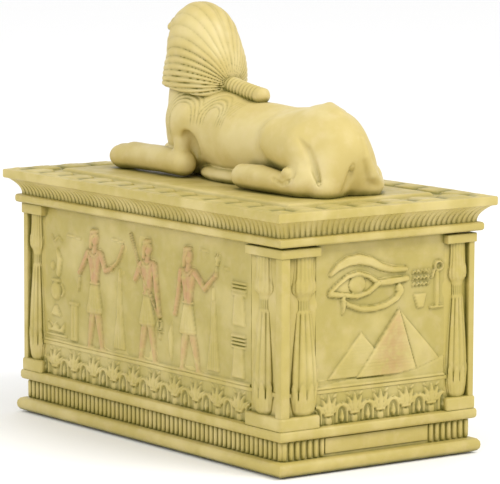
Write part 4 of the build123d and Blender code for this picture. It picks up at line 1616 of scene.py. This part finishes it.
@dataclass(frozen=True)
class Finishes:
    """Assigns a finish to every slot of the record."""

    casket: CastResin = CastResin("casket_resin_finish")
    lid: CastResin = CastResin("lid_resin_finish", wash_everywhere=0.02)
    sphinx: CastResin = CastResin("sphinx_resin_finish", (0.55, 0.435, 0.145), (0.63, 0.52, 0.225),
                                  (0.68, 0.54, 0.30), wash_everywhere=0.03, crevice_mm=3.2)
    rubber: PlainMoulding = PlainMoulding("pad_rubber_finish", (0.03, 0.03, 0.03), (0.06, 0.06, 0.06), 1400)
    fitting: PlainMoulding = PlainMoulding("fitting_finish", (0.78, 0.8, 0.8), (0.86, 0.87, 0.87),
                                           700, 0.00002, 0.35)
    seal: PlainMoulding = PlainMoulding("seal_finish", (0.05, 0.05, 0.05), (0.09, 0.09, 0.09), 1400)
    sleeve: PlainMoulding = PlainMoulding("sleeve_finish", (0.55, 0.6, 0.58), (0.66, 0.7, 0.68),
                                          800, 0.00002, 0.3)
    stone: PlainMoulding = PlainMoulding("stone_finish", (0.12, 0.22, 0.38), (0.34, 0.45, 0.6),
                                         2600, 0.0004, 0.85)
    cradle: PlainMoulding = PlainMoulding("cradle_finish", (0.04, 0.05, 0.05), (0.09, 0.1, 0.1), 900)

    def dress(self, casket: Casket, lid: Lid, sphinx: Sphinx) -> None:
        """Puts the cast finishes on the modelled pieces and the plain ones on the air kit and pads."""
        cast = ((self.casket, casket.pieces), (self.lid, lid.pieces), (self.sphinx, sphinx.pieces))
        for recipe, pieces in cast:
            material = recipe.build()
            for piece in pieces:
                piece.data.materials.clear()
                piece.data.materials.append(material)
        pads = [f"foot_pad_{place}" for place in ("front_left", "front_right", "rear_left", "rear_right")]
        plain = (
            (self.rubber, pads),
            (self.fitting, ["inlet_elbow", "inlet_nut", "stone_end_cap"]),
            (self.seal, ["inlet_washer"]),
            (self.sleeve, ["coupling_sleeve"]),
            (self.stone, ["air_stone"]),
            (self.cradle, ["stone_cradle_inner", "stone_cradle_outer"]),
        )
        for recipe, names in plain:
            material = recipe.build()
            for name in names:
                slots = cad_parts[name].data.materials
                slots.clear()
                slots.append(material)


# ---------------------------------------------------------------- studio


@dataclass(frozen=True)
class Studio:
    """Pale floor, soft light and the camera."""

    camera_place: Point3 = (0.9824, -0.7203, 0.2253)
    camera_right: Point3 = (0.59266, 0.80544, 0.00417)
    camera_up: Point3 = (-0.10589, 0.07279, 0.99171)
    lens: float = 251.7

    def lay_floor(self) -> None:
        """A wide pale floor that runs out of the picture."""
        bpy.ops.mesh.primitive_plane_add(size=12, location=(0, 0, 0))
        floor = bpy.context.object
        floor.name = "floor"
        material = bpy.data.materials.new("floor_white")
        material.use_nodes = True
        shader = material.node_tree.nodes["Principled BSDF"]
        shader.inputs["Base Color"].default_value = (0.93, 0.93, 0.93, 1)
        shader.inputs["Roughness"].default_value = 0.9
        floor.data.materials.append(material)

    def add_light(self, name: str, place: Point3, size: float, power: float, warmth: Point3) -> None:
        """One soft area light aimed at the object."""
        data = bpy.data.lights.new(name, "AREA")
        data.shape = "SQUARE"
        data.size = size
        data.energy = power
        data.color = warmth
        lamp = bpy.data.objects.new(name, data)
        bpy.context.collection.objects.link(lamp)
        lamp.location = place
        lamp.rotation_euler = (Vector((0, 0, 0.07)) - Vector(place)).to_track_quat("-Z", "Y").to_euler()

    def light(self) -> None:
        """Bright surround with a key from high on the camera's right."""
        world = bpy.data.worlds.new("surround")
        world.use_nodes = True
        world.node_tree.nodes["Background"].inputs["Color"].default_value = (1, 1, 1, 1)
        world.node_tree.nodes["Background"].inputs["Strength"].default_value = 1.02
        bpy.context.scene.world = world
        self.add_light("key", (1.15, 0.35, 1.35), 0.7, 14, (1.0, 0.98, 0.94))
        self.add_light("fill", (0.5, -1.5, 0.7), 1.2, 6, (0.96, 0.98, 1.0))

    def place_camera(self) -> None:
        """Stands the camera where the object is seen from."""
        data = bpy.data.cameras.new("camera")
        data.lens = self.lens
        data.clip_end = 50
        camera = bpy.data.objects.new("camera", data)
        bpy.context.collection.objects.link(camera)
        right, up = Vector(self.camera_right), Vector(self.camera_up)
        turn = Matrix((right, up, right.cross(up))).transposed()
        camera.matrix_world = Matrix.Translation(self.camera_place) @ turn.to_4x4()
        bpy.context.scene.camera = camera
        bpy.context.scene.view_settings.view_transform = "Standard"

    def build(self) -> None:
        """Sets up the whole studio."""
        self.lay_floor()
        self.light()
        self.place_camera()


def main() -> None:
    """Builds the ornament and its studio in order."""
    logging.basicConfig(level=logging.INFO, format="%(name)s %(message)s")
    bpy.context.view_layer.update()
    casket, lid, sphinx = Casket(), Lid(), Sphinx()
    for part in (casket, lid, sphinx):
        part.build()
        LOG.info("%s done", type(part).__name__)
    Finishes().dress(casket, lid, sphinx)
    Studio().build()


if __name__ == "__main__":
    main()
